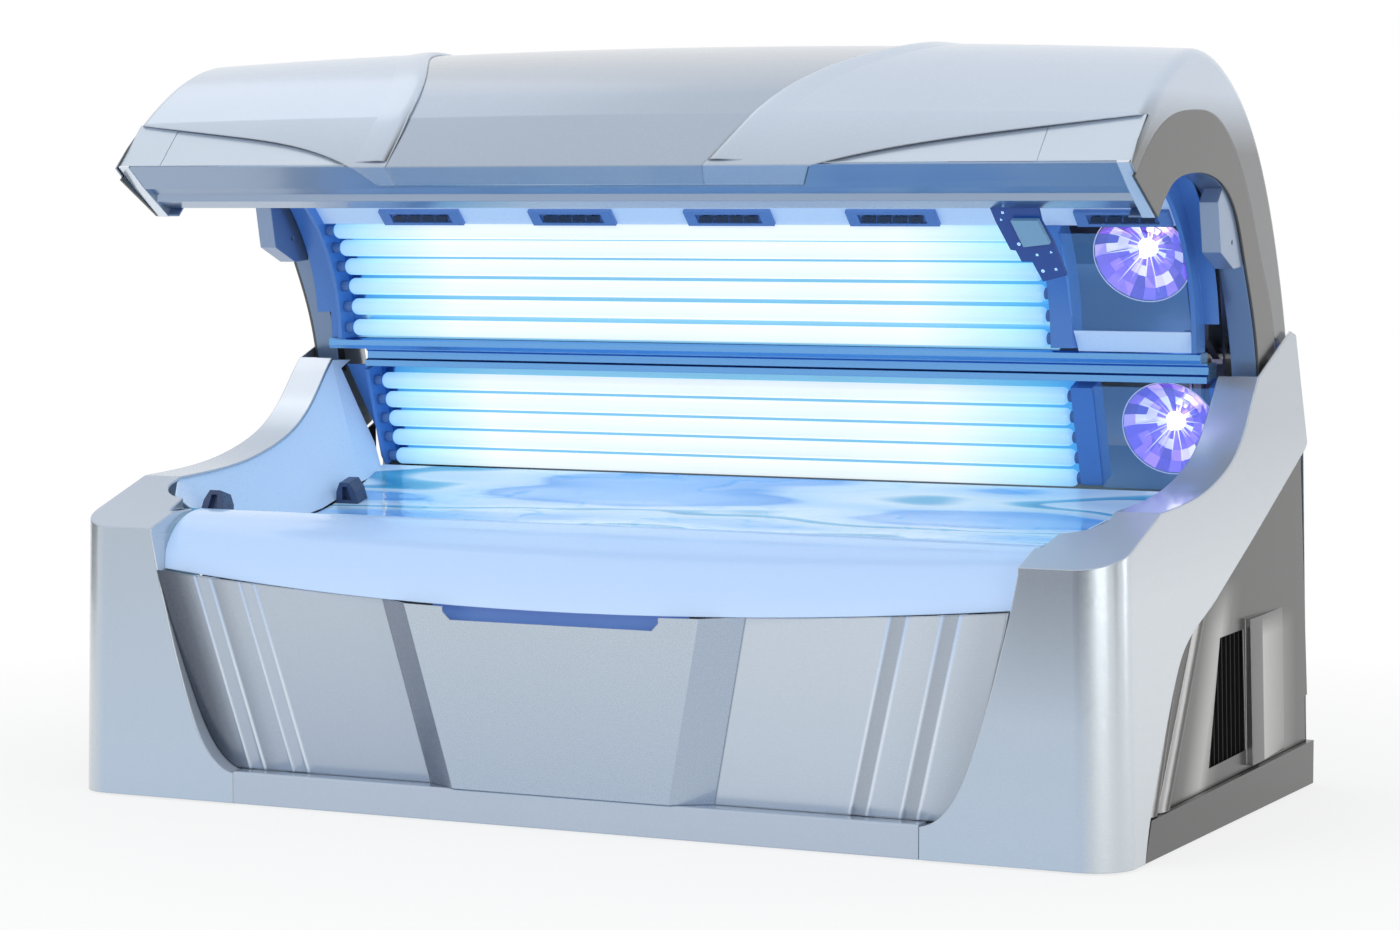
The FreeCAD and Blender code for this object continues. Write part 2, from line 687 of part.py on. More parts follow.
def front_panel():
    """The fluted panel between the door and the head-end pillar."""
    low = size("plinth_height") + gap
    high = size("front_panel_top")
    thick = size("panel_wall")
    slab = side_prism(closed([
        (panel_front_y(low), low), (panel_front_y(high), high),
        (panel_front_y(high) + thick, high), (panel_front_y(low) + thick, low)]), 0, half)
    rise = (high - low) / (size("door_top") - low)
    inner_low = size("door_half_bottom") + size("door_bevel") + gap
    inner_high = inner_low + (size("door_half_top") - size("door_half_bottom")) * rise
    region = front_prism(closed([(inner_low, low), (inner_high, high), (half, high), (half, low)]),
                         front - 150, front + 150)
    region = region.cut(front_region(-2 * gap, front - 150, front + 150))
    region = region.common(below_apron(0, half))
    panel = slab.common(region)
    for start in (size("flute_inner"), size("flute_outer")):
        grow = size("flute_slant") * rise
        width = size("flute_width")
        depth = size("flute_depth")
        flute = side_prism(closed([
            (panel_front_y(low) - 1, low), (panel_front_y(high) - 1, high),
            (panel_front_y(high) + depth, high), (panel_front_y(low) + depth, low)]), 0, half)
        back = side_prism(closed([
            (panel_front_y(low) + depth, low), (panel_front_y(high) + depth, high),
            (panel_front_y(high) + depth + thick, high),
            (panel_front_y(low) + depth + thick, low)]), 0, half)
        strip = front_prism(closed([(start, low), (start + width, low),
                                    (start + width + grow, high), (start + grow, high)]),
                            front - 150, front + 150)
        wide = front_prism(closed([(start - thick, low), (start + width + thick, low),
                                   (start + width + thick + grow, high),
                                   (start - thick + grow, high)]), front - 150, front + 150)
        trough = side_prism(closed([
            (panel_front_y(low), low), (panel_front_y(high), high),
            (panel_front_y(high) + depth + thick, high),
            (panel_front_y(low) + depth + thick, low)]), 0, half)
        panel = panel.fuse(trough.common(wide).common(region)).cut(flute.common(strip))
    return panel.removeSplitter()


fluted = front_panel()
node("front_panel_right", fluted)
node("front_panel_left", mirrored(fluted))


def front_door():
    """The lift-off service door: proud of the panels, bevelled, with a grip notch on top."""
    low = size("plinth_height") + gap
    high = size("door_top")
    top = size("apron_end_z")
    thick = size("panel_wall")
    proud = size("door_proud")

    def level(z, depth):
        rise = (z - low) / (high - low)
        x = size("door_half_bottom") + (size("door_half_top") - size("door_half_bottom")) * rise
        outer = x + size("door_bevel")
        y_face = panel_front_y(z) - proud + depth
        y_side = panel_front_y(z) + depth
        slip = depth * 0.5
        return [(-outer, y_side, z), (-x + slip, y_face, z), (x - slip, y_face, z), (outer, y_side, z)]

    def ring(z):
        front_line = level(z, 0)
        back_line = level(z, thick)
        spots = [V(*point) for point in front_line + list(reversed(back_line))]
        return Part.makePolygon(spots + [spots[0]])

    door = Part.makeLoft([ring(low), ring(top)], True, True)
    grip = size("grip_half")
    notch = front_prism(closed([(-grip, high + BEYOND), (-grip, high - 8),
                                (-grip + 16, high - size("grip_depth")),
                                (grip - 16, high - size("grip_depth")),
                                (grip, high - 8), (grip, high + BEYOND)]), front - 150, front - 25)
    return door.cut(notch).common(below_apron(-half, half))


node("centre_front_panel", front_door())


def apron():
    """The lit diffuser that hangs in front of the bench, bulging towards its middle."""
    wires = []
    reach = apron_half
    thick = size("apron_wall")
    count = 5
    for i in range(count):
        x = -reach + 2 * reach * i / (count - 1)
        low_y, low_z = apron_low(x)
        top = (-apron_top_y - 4, size("bench_height"))
        mid = ((top[0] + low_y) / 2 - 28, (top[1] + low_z) / 2 + 22)
        outer = [(low_y, low_z), mid, top]
        inner = [(low_y + thick, low_z), (mid[0] + thick * 0.7, mid[1] - thick * 0.8),
                 (top[0], top[1] - thick)]
        wires.append(wire([outer, [outer[-1], inner[-1]], list(reversed(inner)),
                           [inner[0], outer[0]]], in_side(x)))
    body = Part.makeLoft(wires, True, False)
    pillar = front_region(-2 * gap, front - 150, front + size("pillar_return"))
    return body.cut(pillar.fuse(mirrored(pillar)))


node("front_apron", apron())


# ---------------------------------------------------------------- bench
def bench_curve(drop):
    """The dished line of the bench in side view, lowered along its own normal by drop."""
    start = (-apron_top_y, size("bench_height"))
    end = (size("bench_rear_y"), size("bench_rear_z"))
    middle = (-45, (start[1] + end[1]) / 2 - size("bench_sag") - 22)
    arc = Part.Arc(V(0, *start), V(0, *middle), V(0, *end)).toShape().Curve
    radius = arc.Radius
    centre = arc.Center
    spots = []
    steps = 6
    first = math.atan2(start[1] - centre.z, start[0] - centre.y)
    last = math.atan2(end[1] - centre.z, end[0] - centre.y)
    for i in range(steps + 1):
        angle = first + (last - first) * i / steps
        spots.append((centre.y + (radius + drop) * math.cos(angle),
                      centre.z + (radius + drop) * math.sin(angle)))
    return spots


def bench_sheet(drop, thick, reach):
    upper = bench_curve(drop)
    lower = list(reversed(bench_curve(drop + thick)))
    outline = [upper, [upper[-1], lower[0]], lower, [lower[-1], upper[0]]]
    return side_prism(outline, -reach, reach)


node("bench_acrylic", bench_sheet(0, size("acrylic_wall"), bench_half))


def bench_tray():
    """The reflector tray under the bench lamps, with end cheeks that carry the acrylic."""
    tray = bench_sheet(size("tray_drop"), size("tray_wall"), bench_half)
    thick = size("tray_cheek")
    upper = bench_curve(size("acrylic_wall") + gap)
    lower = list(reversed(bench_curve(size("tray_drop") + size("tray_wall"))))
    outline = [upper, [upper[-1], lower[0]], lower, [lower[-1], upper[0]]]
    middle = bay_left - size("post_width") + gap
    starts = (-bench_half, middle, bench_half - thick)
    return fused([tray] + [side_prism(outline, x, x + thick) for x in starts])


node("bench_tray", bench_tray())


def lamp(label, y, z):
    """One fluorescent tube along the bed."""
    return cylinder(label + "_glass", "Sizes.lamp_radius", LAMP_LENGTH,
                    (LAMP_START, str(y), str(z)), V(1, 0, 0))


def lamp_field(label, spots):
    tubes = [lamp("%s_%d" % (label, i), y, z) for i, (y, z) in enumerate(spots)]
    return compound(label, tubes)


def holders(spots, left, right):
    """Lamp sockets: a block against each end of each tube, up to the end walls."""
    reach = size("holder_width") / 2
    blocks = []
    for y, z in spots:
        for start, end in ((left, lamp_x), (lamp_end, right)):
            blocks.append(box(start, end, y - reach, y + reach, z - reach, z + reach))
    return blocks


bench_line = bench_curve(size("bench_lamp_drop"))


def along(points, share):
    """A point at a share of a run of evenly spaced points."""
    position = share * (len(points) - 1)
    index = min(int(position), len(points) - 2)
    rest = position - index
    first, second = points[index], points[index + 1]
    return (first[0] + rest * (second[0] - first[0]), first[1] + rest * (second[1] - first[1]))


bench_count = int(size("bench_lamp_count"))
bench_spots = [along(bench_line, (i + 0.75) / (bench_count + 0.5)) for i in range(bench_count)]
rear_count = int(size("rear_lamp_count"))
rear_top = (size("rear_lamp_top_y"), size("rear_lamp_top_z"))
rear_low = (size("rear_lamp_low_y"), size("rear_lamp_low_z"))
rear_spots = [along([rear_top, rear_low], i / (rear_count - 1)) for i in range(rear_count)]
lamp_field("bench_lamps", bench_spots)
lamp_field("rear_wall_lamps", rear_spots)
cheek = size("tray_cheek")
sockets = holders(bench_spots, -bench_half + cheek, post_left)
sockets += holders(rear_spots, -bench_half, post_left)
node("base_lamp_holders", Part.makeCompound(sockets))


def rear_wall(depth, thick, x_low, x_high, above=24, below=22):
    """A sheet parallel to the base's rear lamps, at a depth behind their centres."""
    run = math.hypot(rear_low[0] - rear_top[0], rear_low[1] - rear_top[1])
    slope = ((rear_low[0] - rear_top[0]) / run, (rear_low[1] - rear_top[1]) / run)
    normal = (-slope[1], slope[0])
    top = (rear_top[0] - slope[0] * above, rear_top[1] - slope[1] * above)
    low = (rear_low[0] + slope[0] * below, rear_low[1] + slope[1] * below)
    corners = []
    for spot, push in ((top, depth), (low, depth), (low, depth + thick), (top, depth + thick)):
        corners.append((spot[0] + normal[0] * push, spot[1] + normal[1] * push))
    return side_prism(closed(corners), x_low, x_high)


rear_depth = size("lamp_radius") + size("reflector_gap")
rail_rise = size("rail_rise")
node("rear_wall_reflector", rear_wall(rear_depth, 2, -bench_half, post_left, above=rail_rise))


def base_top_rail():
    """The stepped rail along the top edge of the base's rear wall."""
    y = size("rear_lamp_top_y") - 50
    z = size("rear_lamp_top_z") + size("lamp_radius") + 16
    outline = closed([(y, z), (y, z + 14), (y + 10, z + 18), (y + 10, z + 34), (y + 3, z + 38),
                      (y + 3, z + 42), (y + 66, z + 42), (y + 66, z + 4), (y + 30, z + 4), (y + 26, z)])
    return side_prism(outline, -bench_half, bay_right)


node("base_top_rail", base_top_rail())


def base_end_frames():
    """Blue strips that close the lamp wall of the base at both ends."""
    near = -size("lamp_radius") - 6
    width = size("end_frame_width")
    beyond = liner_room(-gap, BEYOND)
    ends = []
    for x in (bench_half + gap, bay_right + gap):
        strip = rear_wall(near, rear_depth - near, x, x + width, above=rail_rise, below=16)
        fill = rear_wall(6, 3, x + width, band_inner + 10, above=rail_rise, below=16)
        ends.append(fused([strip, fill]).cut(beyond))
    return Part.makeCompound([mirrored(ends[0]), ends[1]])


def base_post():
    """The upright between the base's lamp wall and its facial bay."""
    return rear_wall(-size("lamp_radius") - 8, rear_depth + 30, post_left + gap, bay_left,
                     above=rail_rise - 6, below=4)


node("base_post", base_post())


def bowl(centre_y, centre_z, lean):
    """A round reflector for a high-pressure facial lamp, opening towards the user."""
    rim = size("bowl_radius")
    deep = size("bowl_depth")
    thin = size("bowl_wall")
    neck = size("bulb_radius") + 6
    profile = [(rim, 0), (rim * 0.86, deep * 0.42), (rim * 0.55, deep * 0.82), (neck, deep)]
    back = [(r + thin * 0.4, d + thin) for r, d in profile]
    back[0] = (rim + thin, 0)
    outline = [profile, [profile[-1], back[-1]], list(reversed(back)), [back[0], profile[0]]]
    face = Part.Face(wire(outline, lambda r, d: V(r, d, 0)))
    dish = face.revolve(V(0, 0, 0), V(0, 1, 0), 360)
    dish.rotate(V(0, 0, 0), V(1, 0, 0), lean)
    dish.translate(V(bowl_x, centre_y, centre_z))
    return dish


def bulb(centre_y, centre_z, lean):
    """The quartz burner and its ceramic base, in the neck of the bowl."""
    radius = size("bulb_radius")
    deep = size("bowl_depth")
    glass = Part.makeCylinder(radius * 0.6, deep * 0.72, V(0, deep * 0.3, 0), V(0, 1, 0))
    flange = Part.makeCylinder(radius + 5.8, 3, V(0, deep + 0.2, 0), V(0, 1, 0))
    plug = Part.makeCylinder(radius * 0.75, 14, V(0, deep + 0.2, 0), V(0, 1, 0))
    whole = fused([glass, flange, plug])
    whole.rotate(V(0, 0, 0), V(1, 0, 0), lean)
    whole.translate(V(bowl_x, centre_y, centre_z))
    return whole


bowl_x = bay_right - size("bowl_radius") - size("bowl_wall")
wall_lean = math.degrees(math.atan2(rear_low[0] - rear_top[0], rear_top[1] - rear_low[1]))
lower_middle = along([rear_top, rear_low], size("lower_bowl_share"))
node("lower_face_reflector", bowl(lower_middle[0] - 4, lower_middle[1], wall_lean))
node("lower_face_lamp", bulb(lower_middle[0] - 4, lower_middle[1], wall_lean))


def nozzle(y):
    """A trapezoid block with a dark window that clips the acrylic at the foot end."""
    wide = size("nozzle_width")
    tall = size("nozzle_height")
    deep = size("nozzle_depth")
    x = -bench_half + 4
    spots = dense(bench_curve(0), 80)
    span = spots[-1][0] - spots[0][0]
    first = along(spots, (y - spots[0][0]) / span)
    last = along(spots, (y + deep - spots[0][0]) / span)
    tilt = math.degrees(math.atan2(last[1] - first[1], last[0] - first[0]))
    outline = closed([(x, 0), (x + wide, 0), (x + wide - 4, tall * 0.55), (x + wide - 16, tall),
                      (x + 16, tall), (x + 4, tall * 0.55)])
    window = closed([(x + 17, 8), (x + wide - 17, 8), (x + wide - 22, tall - 10), (x + 22, tall - 10)])
    block = front_prism(outline, 0, deep).cut(front_prism(window, -1, 12))
    block.rotate(V(0, 0, 0), V(1, 0, 0), tilt)
    block.translate(V(0, first[0], first[1] + gap))
    return block


nozzle_places = (size("nozzle_setback") - apron_top_y, size("nozzle_rear_y"))
node("bench_nozzles", Part.makeCompound([nozzle(y) for y in nozzle_places]))


def liner_room(shift, spread):
    """The room beyond the sloping inner wall of the base end, up to a far plane at spread."""
    spots = bench_curve(0)
    tops = dense(inset(wing_curve(), wall + 2 * gap), 22)
    lead = (spots[0][0] + 4, pillar_height + size("liner_lead_rise"))
    tail = (size("hinge_y"), tops[-1][1] - 6)
    sections = []
    for y, z in [lead] + tops + [tail]:
        share = (y - spots[0][0]) / (spots[-1][0] - spots[0][0])
        low = along(spots, min(max(share, 0), 1))[1] + 2
        top_x = min(band_inner + wall, band_inner - size("liner_lead_in")
                    + (y - lead[0]) * 0.62) + shift
        low_x = bench_half + gap + shift
        sections.append(Part.makePolygon([
            V(low_x, y, low), V(top_x, y, z), V(top_x + spread, y, z),
            V(low_x + spread, y, low), V(low_x, y, low)]))
    return Part.makeLoft(sections, True, True)


def end_liner():
    """The sloping inner wall between the wing's band and the end of the bench."""
    behind = rear_wall(-size("lamp_radius") - 6 - gap, BEYOND, 0, half, above=38, below=150)
    front_half = box(0, half, -BEYOND * 2, size("bench_rear_y"), 0, BEYOND * 3)
    return liner_room(0, size("panel_wall")).common(front_half).cut(behind)


liner = end_liner()
node("end_liners", Part.makeCompound([liner, mirrored(liner)]))
node("base_end_frames", base_end_frames())
lower_glass = rear_wall(-size("lamp_radius") - 4, size("glass_wall"), bay_left + gap,
                        bay_right, above=rail_rise - 4, below=10)
node("lower_face_glass", lower_glass.cut(liner_room(-gap, BEYOND)))


# ---------------------------------------------------------------- rear of the base
def rear_cover():
    """The sheet metal back of the base, with a raised air outlet box and louvre slots."""
    rear = size("rear_depth")
    thick = 3
    top = (545, 926)
    knee = (605, size("tail_height"))
    profile = closed([(rear - thick, size("floor_gap") + 20), (rear, size("floor_gap") + 20),
                      (rear, knee[1] - 20), (knee[0] + 2, knee[1]), top, (top[0] - thick, top[1]),
                      (knee[0] - thick, knee[1] - 4), (rear - thick, knee[1] - 22)])
    shrink = size("side_recess") + size("panel_wall") + gap
    room = drafted_block(shrink)
    cover = side_prism(profile, -half, half).common(room.fuse(mirrored(room)))
    half_box = 420
    face = rear + size("outlet_depth")
    outer = box(-half_box, half_box, rear - 1, face, 150, 520)
    inner = box(-half_box + 3, half_box - 3, rear - 10, face - 3, 153, 517)
    cover = cover.cut(box(-half_box + 3, half_box - 3, rear - 10, rear + 1, 153, 517))
    cover = cover.fuse(outer.cut(inner)).removeSplitter()
    slots = []
    for i in range(10):
        z = 190 + i * 30
        for x in (-370, 30):
            slots.append(box(x, x + 340, face - 5, face + 5, z, z + 12))
    return cover.cut(Part.makeCompound(slots))


node("rear_cover", rear_cover())


# ---------------------------------------------------------------- ballasts and blower
def ballasts():
    """Chokes on a steel mounting plate across the floor ring."""
    low = size("frame_low") + size("tube")
    start = size("ballast_inset") - bench_half
    plate = box(start, size("head_cross_x") - 20, -260, 60, low + gap, low + gap + 3)
    blocks = []
    for row in range(2):
        for column in range(9):
            x = start + 40 + column * size("ballast_pitch")
            y = -230 + row * 160
            blocks.append(box(x, x + 96, y, y + 62, low + gap + 3, low + gap + 55))
    return Part.makeCompound([plate] + blocks)


node("ballasts", ballasts())

blower = V(bench_half - size("blower_inset"), size("blower_y"), size("blower_z"))


def blower_housing():
    """A round blower casing with an inlet eye on the head side, an outlet duct and a motor."""
    radius = size("blower_radius")
    width = size("blower_width")
    thick = 3
    start = blower.x - width / 2
    drum = Part.makeCylinder(radius, width, V(start, blower.y, blower.z), V(1, 0, 0))
    duct = box(start, start + width, blower.y - radius, blower.y - radius + 90, blower.z, 425)
    case = drum.fuse(duct)
    core = Part.makeCylinder(radius - thick, width - 2 * thick,
                             V(start + thick, blower.y, blower.z), V(1, 0, 0))
    bore = box(start + thick, start + width - thick, blower.y - radius + thick,
               blower.y - radius + 90 - thick, blower.z, 500)
    case = case.cut(core.fuse(bore))
    eye = Part.makeCylinder(size("wheel_radius") * 0.72, 2 * thick,
                            V(start + width - 1.5 * thick, blower.y, blower.z), V(1, 0, 0))
    case = case.cut(eye)
    motor = Part.makeCylinder(44, 90, V(start - 90, blower.y, blower.z), V(1, 0, 0))
    bearing = Part.makeCylinder(size("shaft_radius") + size("pin_clearance"), 60,
                                V(start - 40, blower.y, blower.z), V(1, 0, 0))
    low = size("frame_low") + size("tube") + gap
    foot = box(start, start + width, blower.y - 90, blower.y + 90, low, low + 4)
    stand = box(start + 10, start + 14, blower.y - 70, blower.y + 70, low, blower.z - 60)
    other = box(start + width - 14, start + width - 10, blower.y - 70, blower.y + 70, low, blower.z - 92)
    deck = box(size("head_cross_x"), frame_end, blower.y - 40, blower.y, low - 0.1, low + 3)
    return case.fuse([motor, foot, stand, other, deck]).cut(bearing).cut(core).removeSplitter()


node("blower_housing", blower_housing())


def wheel(radius, width, hub, axle_back, blades):
    """A fan wheel on the X axis: back plate, hub, shaft, ring and blades."""
    plate = Part.makeCylinder(radius, 3, V(0, 0, 0), V(1, 0, 0))
    boss = Part.makeCylinder(hub, 30, V(0, 0, 0), V(1, 0, 0))
    shaft = Part.makeCylinder(size("shaft_radius"), axle_back + 10, V(-axle_back, 0, 0), V(1, 0, 0))
    ring = Part.makeCylinder(radius, 4, V(width - 4, 0, 0), V(1, 0, 0)).cut(
        Part.makeCylinder(radius - 16, 4, V(width - 4, 0, 0), V(1, 0, 0)))
    pieces = [plate, boss, shaft, ring]
    for i in range(blades):
        blade = box(1, width - 1, radius - 18, radius - 1, -1.2, 1.2)
        blade.rotate(V(0, radius - 9, 0), V(1, 0, 0), 35)
        blade.rotate(V(0, 0, 0), V(1, 0, 0), 360 * i / blades)
        pieces.append(blade)
    return fused(pieces)


def blower_wheel():
    turning = wheel(size("wheel_radius"), size("wheel_width"), 24, 50, int(size("blade_count")))
    turning.translate(V(blower.x - size("blower_width") / 2 + 14, blower.y, blower.z))
    return turning


node("blower_wheel", blower_wheel())


# ---------------------------------------------------------------- hinges of the canopy
def hinge_brackets():
    """Two pairs of cheek plates on the posts, each pair with its fixed pin."""
    solids = []
    post = size("post_size")
    thick = size("cheek_wall")
    pin = size("pin_radius")
    y, z = size("hinge_y"), size("hinge_z")
    for side in (-1, 1):
        parts = []
        centre = side * hinge_x
        for face in (-1, 1):
            start = centre + face * (post / 2 + gap * 0.5) - (thick if face < 0 else 0)
            parts.append(box(start, start + thick, y - 25, y + 25, size("hinge_post_top") - 80, z + 28))
        reach = post / 2 + thick + 4
        parts.append(rod((centre - reach, y, z), (centre + reach, y, z), pin))
        eye_x = side * spring_x
        eye_y, eye_z = size("spring_base_y"), size("spring_base_z")
        solids.append(fused(parts))
        start = centre - side * (post / 2 + gap * 0.5)
        plate = box(min(start, start - side * thick), max(start, start - side * thick),
                    eye_y - 22, eye_y + 22, eye_z - 30, eye_z + 30)
        stud = rod((start, eye_y, eye_z), (eye_x - side * 16, eye_y, eye_z), size("spring_pin_radius"))
        solids.append(fused([plate, stud]))
    return Part.makeCompound(solids)


node("hinge_brackets", hinge_brackets())

base_eye = (size("spring_base_y"), size("spring_base_z"))
top_eye = (size("spring_top_y"), size("spring_top_z"))
spring_run = math.hypot(top_eye[0] - base_eye[0], top_eye[1] - base_eye[1])
spring_way = ((top_eye[0] - base_eye[0]) / spring_run, (top_eye[1] - base_eye[1]) / spring_run)


def on_spring(x, distance):
    """A point on the line of the gas spring, measured from its lower eye."""
    return (x, base_eye[0] + spring_way[0] * distance, base_eye[1] + spring_way[1] * distance)


def eye(x, distance, bore):
    """A flat ring on the X axis that takes an eye pin."""
    centre = on_spring(x - 6, distance)
    ring = Part.makeCylinder(size("spring_eye_radius"), 12, V(*centre), V(1, 0, 0))
    return ring.cut(Part.makeCylinder(bore, 12, V(*centre), V(1, 0, 0)))


def spring_bodies():
    solids = []
    for side in (-1, 1):
        x = side * spring_x
        barrel = rod(on_spring(x, 12), on_spring(x, 228), size("spring_radius"))
        bore = rod(on_spring(x, 60), on_spring(x, 229), size("rod_radius") + size("pin_clearance"))
        lower = eye(x, 0, size("spring_pin_radius") + size("pin_clearance"))
        pin_room = rod((x - 20, *base_eye), (x + 20, *base_eye),
                       size("spring_pin_radius") + size("pin_clearance"))
        solids.append(fused([barrel, lower]).cut(pin_room).cut(bore))
    return Part.makeCompound(solids)


def spring_rods():
    solids = []
    for side in (-1, 1):
        x = side * spring_x
        bar = rod(on_spring(x, 120), on_spring(x, spring_run - size("spring_pin_radius") - 6),
                  size("rod_radius"))
        room = size("spring_pin_radius") + size("spring_slack")
        upper = eye(x, spring_run, room)
        pin_room = rod((x - 20, *top_eye), (x + 20, *top_eye), room)
        solids.append(fused([bar, upper]).cut(pin_room))
    return Part.makeCompound(solids)


node("gas_spring_cylinders", spring_bodies())
node("gas_spring_rods", spring_rods())


# ---------------------------------------------------------------- canopy outlines
def skin_curve(shrink, lift, sunk=0):
    """The outer skin in side view: flange, lip's tip, brow, crown and tail."""
    top = size("canopy_top")
    tail = (size("skin_tail_y"), size("skin_tail_z"))
    flange = (-size("flange_y"), size("flange_z"))
    tip = (-size("lip_front_y"), size("lip_front_z"))
    brow = (-size("brow_top_y"), size("brow_top_z"))
    arc = [brow, (-300, top - 64), (-200, top - 21), (-100, top - 2), (0, top - 11), (100, top - 45),
           (195, top - 96), (320, top - 209), (438, top - 394), (518, tail[1] + 40), tail]
    run = [(y, z + lift * min(max((z - tip[1]) / (top - tip[1]), 0), 1))
           for y, z in [flange, tip] + arc]
    return inset(run, shrink)[:2] + inset(run, shrink + sunk)[2:]


def skin_block(shrink, reach, crown, sunk=0):
    """The canopy's volume, its skin side inset by shrink and open towards the tunnel."""
    wires = []
    for x in (-reach, 0, reach):
        lift = crown * (1 - (x / canopy_half) ** 2)
        run = skin_curve(shrink, lift, sunk)
        pieces = [[run[0], run[1]], [run[1], run[2]], run[2:]]
        if shrink:
            nose = (run[0][0] + 80, run[0][1] - 60)
            tail = (run[-1][0] + 1, run[-1][1] - 60)
            pieces += [[run[-1], tail], [tail, nose], [nose, run[0]]]
        else:
            pieces.append([run[-1], run[0]])
        wires.append(wire(pieces, in_side(x)))
    return Part.makeLoft(wires, True, False)


def arch_outer():
    """The line on the canopy's end between the dark arch and the light skin."""
    return [(-482, 1310), (-431, 1352), (-350, 1402), (-250, 1433), (-145, 1443), (8, 1433),
            (100, 1392), (165, 1340), (250, 1240), (315, 1140), (385, 1040), (425, 936), (440, 862)]


def arch_inner():
    """The inner edge of the dark arch, from its lower tail to its front foot."""
    return [(322, 862), (312, 905), (300, 950), (264, 1040), (203, 1150), (150, 1235), (75, 1290),
            (-1, 1312), (-80, 1320), (-166, 1317), (-264, 1295), (-305, 1268), (-345, 1232)]


def arch_outline():
    outer = arch_outer()
    inner = arch_inner()
    return [outer, [outer[-1], inner[0]], inner, [inner[-1], outer[0]]]


crown = size("canopy_crown")
skin = size("skin_wall")


def round_ended(block, reach, radius):
    """Rounds a canopy block's long curved edges at both ends, from the brow back to the tail."""
    brow_z = size("brow_top_z")
    ends = [edge for edge in block.Edges
            if edge.BoundBox.XLength < 1 and abs(edge.BoundBox.XMin) > reach - 1]
    return block.makeFillet(radius, [edge for edge in ends if edge.BoundBox.ZMax > brow_z + 10])


outer_block = round_ended(skin_block(0, canopy_half, crown), canopy_half, size("canopy_end_round"))
inner_block = round_ended(skin_block(skin, canopy_half - skin, crown), canopy_half - skin,
                          size("canopy_end_round") - skin)
wing_skin = outer_block.cut(inner_block)
arch_room = [arch_outer(), [arch_outer()[-1], (440, 500)], [(440, 500), (-600, 500)],
             [(-600, 500), arch_outer()[0]]]
end_room = side_prism(arch_room, canopy_half - 30, canopy_half + 30)
wing_skin = wing_skin.cut(end_room.fuse(mirrored(end_room)))
step = size("facet_step")
centre_skin_solid = skin_block(0, canopy_half - 100, crown, step).cut(
    skin_block(skin, canopy_half - 99, crown, step))


def facet(side, shift):
    """The region of one wing shell in front view, cut along its facet line."""
    top = size("canopy_top") + 100
    low = size("skin_tail_z") - 60
    if side < 0:
        x = size("left_facet_reach") - canopy_half + shift
        line = [(x - 200, top), (x - 97, 1580), (x - 26, 1526), (x + 4, 1453), (x + 5, 1380),
                (x, 1310), (x - 4, low)]
        outer = -canopy_half - 50
    else:
        x = canopy_half - size("right_facet_reach") + shift
        line = [(x + 560, top), (x + 335, 1584), (x + 212, 1546), (x + 112, 1482), (x + 52, 1400),
                (x + 12, 1335), (x - 12, 1290), (x - 60, low)]
        outer = canopy_half + 50
    return front_prism([line, [line[-1], (outer, low)], [(outer, low), (outer, top)],
                        [(outer, top), line[0]]], -800, 800)


left_brow_x = size("left_brow_reach") - canopy_half
right_brow_x = canopy_half - size("right_brow_reach")
left_seam_x = size("left_seam_reach") - canopy_half
right_seam_x = canopy_half - size("right_seam_reach")
BROW_TIP_ROOM = 60


def brow_region(side, grow):
    """The eyelid-shaped recess in the front of a wing shell, in front view."""
    low = size("flange_z") - 20
    tip_z = size("lip_front_z") - 4
    if side < 0:
        tip = left_brow_x + grow
        end = -canopy_half + skin
        upper = [(end, 1428 + grow), (end + 106, 1417 + grow), (end + 246, 1403 + grow),
                 (end + 386, 1386 + grow), (end + 496, 1363 + grow), (tip, tip_z)]
        foot = (tip + 46, low)
    else:
        tip = right_brow_x - grow
        end = canopy_half - skin
        upper = [(end, 1428 + grow), (end - 106, 1417 + grow), (end - 246, 1402 + grow),
                 (end - 386, 1385 + grow), (end - 536, 1361 + grow), (tip, tip_z)]
        foot = (tip - 46, low)
    return front_prism([upper, [upper[-1], foot], [foot, (end, low)], [(end, low), upper[0]]],
                       -620, -300)


wing_shells = {side: wing_skin.common(facet(side, 0)).cut(brow_region(side, 0)) for side in (-1, 1)}
node("canopy_wing_left", wing_shells[-1])
node("canopy_wing_right", wing_shells[1])

lap_z = size("brow_top_z") + 4
lap = size("facet_lap")
upper_part = box(-canopy_half, canopy_half, -800, 800, lap_z, 1700).cut(facet(-1, -lap))
lower_part = box(-canopy_half, canopy_half, -800, 0, 1200, lap_z).cut(facet(-1, gap))
rear_part = box(-canopy_half, canopy_half, 0, 800, 800, lap_z).cut(facet(-1, -lap))
upper_part = upper_part.cut(facet(1, lap)).fuse(rear_part.cut(facet(1, lap)))
centre_region = upper_part.fuse(lower_part.cut(facet(1, -gap)))
node("canopy_centre_skin", centre_skin_solid.common(centre_region))


def face_slab(depth, thick):
    """A slab parallel to the sloping front face of the canopy."""
    tip = (-size("lip_front_y"), size("lip_front_z"))
    brow = (-size("brow_top_y"), size("brow_top_z"))
    rise = ((brow[0] - tip[0]) * 0.2, (brow[1] - tip[1]) * 0.2)
    line = [(tip[0] - rise[0], tip[1] - rise[1]), (brow[0] + rise[0], brow[1] + rise[1])]
    near = inset(line, depth)
    far = inset(line, depth + thick)
    return side_prism(closed([near[0], near[1], far[1], far[0]]), -canopy_half, canopy_half)


def brow_piece(side, x_low, x_high, depth):
    """Part of the recessed panel under a wing's brow, between two planes."""
    seat = size("lip_front_z") + size("lip_wall") + gap
    top = size("brow_top_z") - 4
    region = brow_region(side, 8).common(box(x_low, x_high, -800, 0, seat, top))
    return face_slab(depth, 3).common(region)


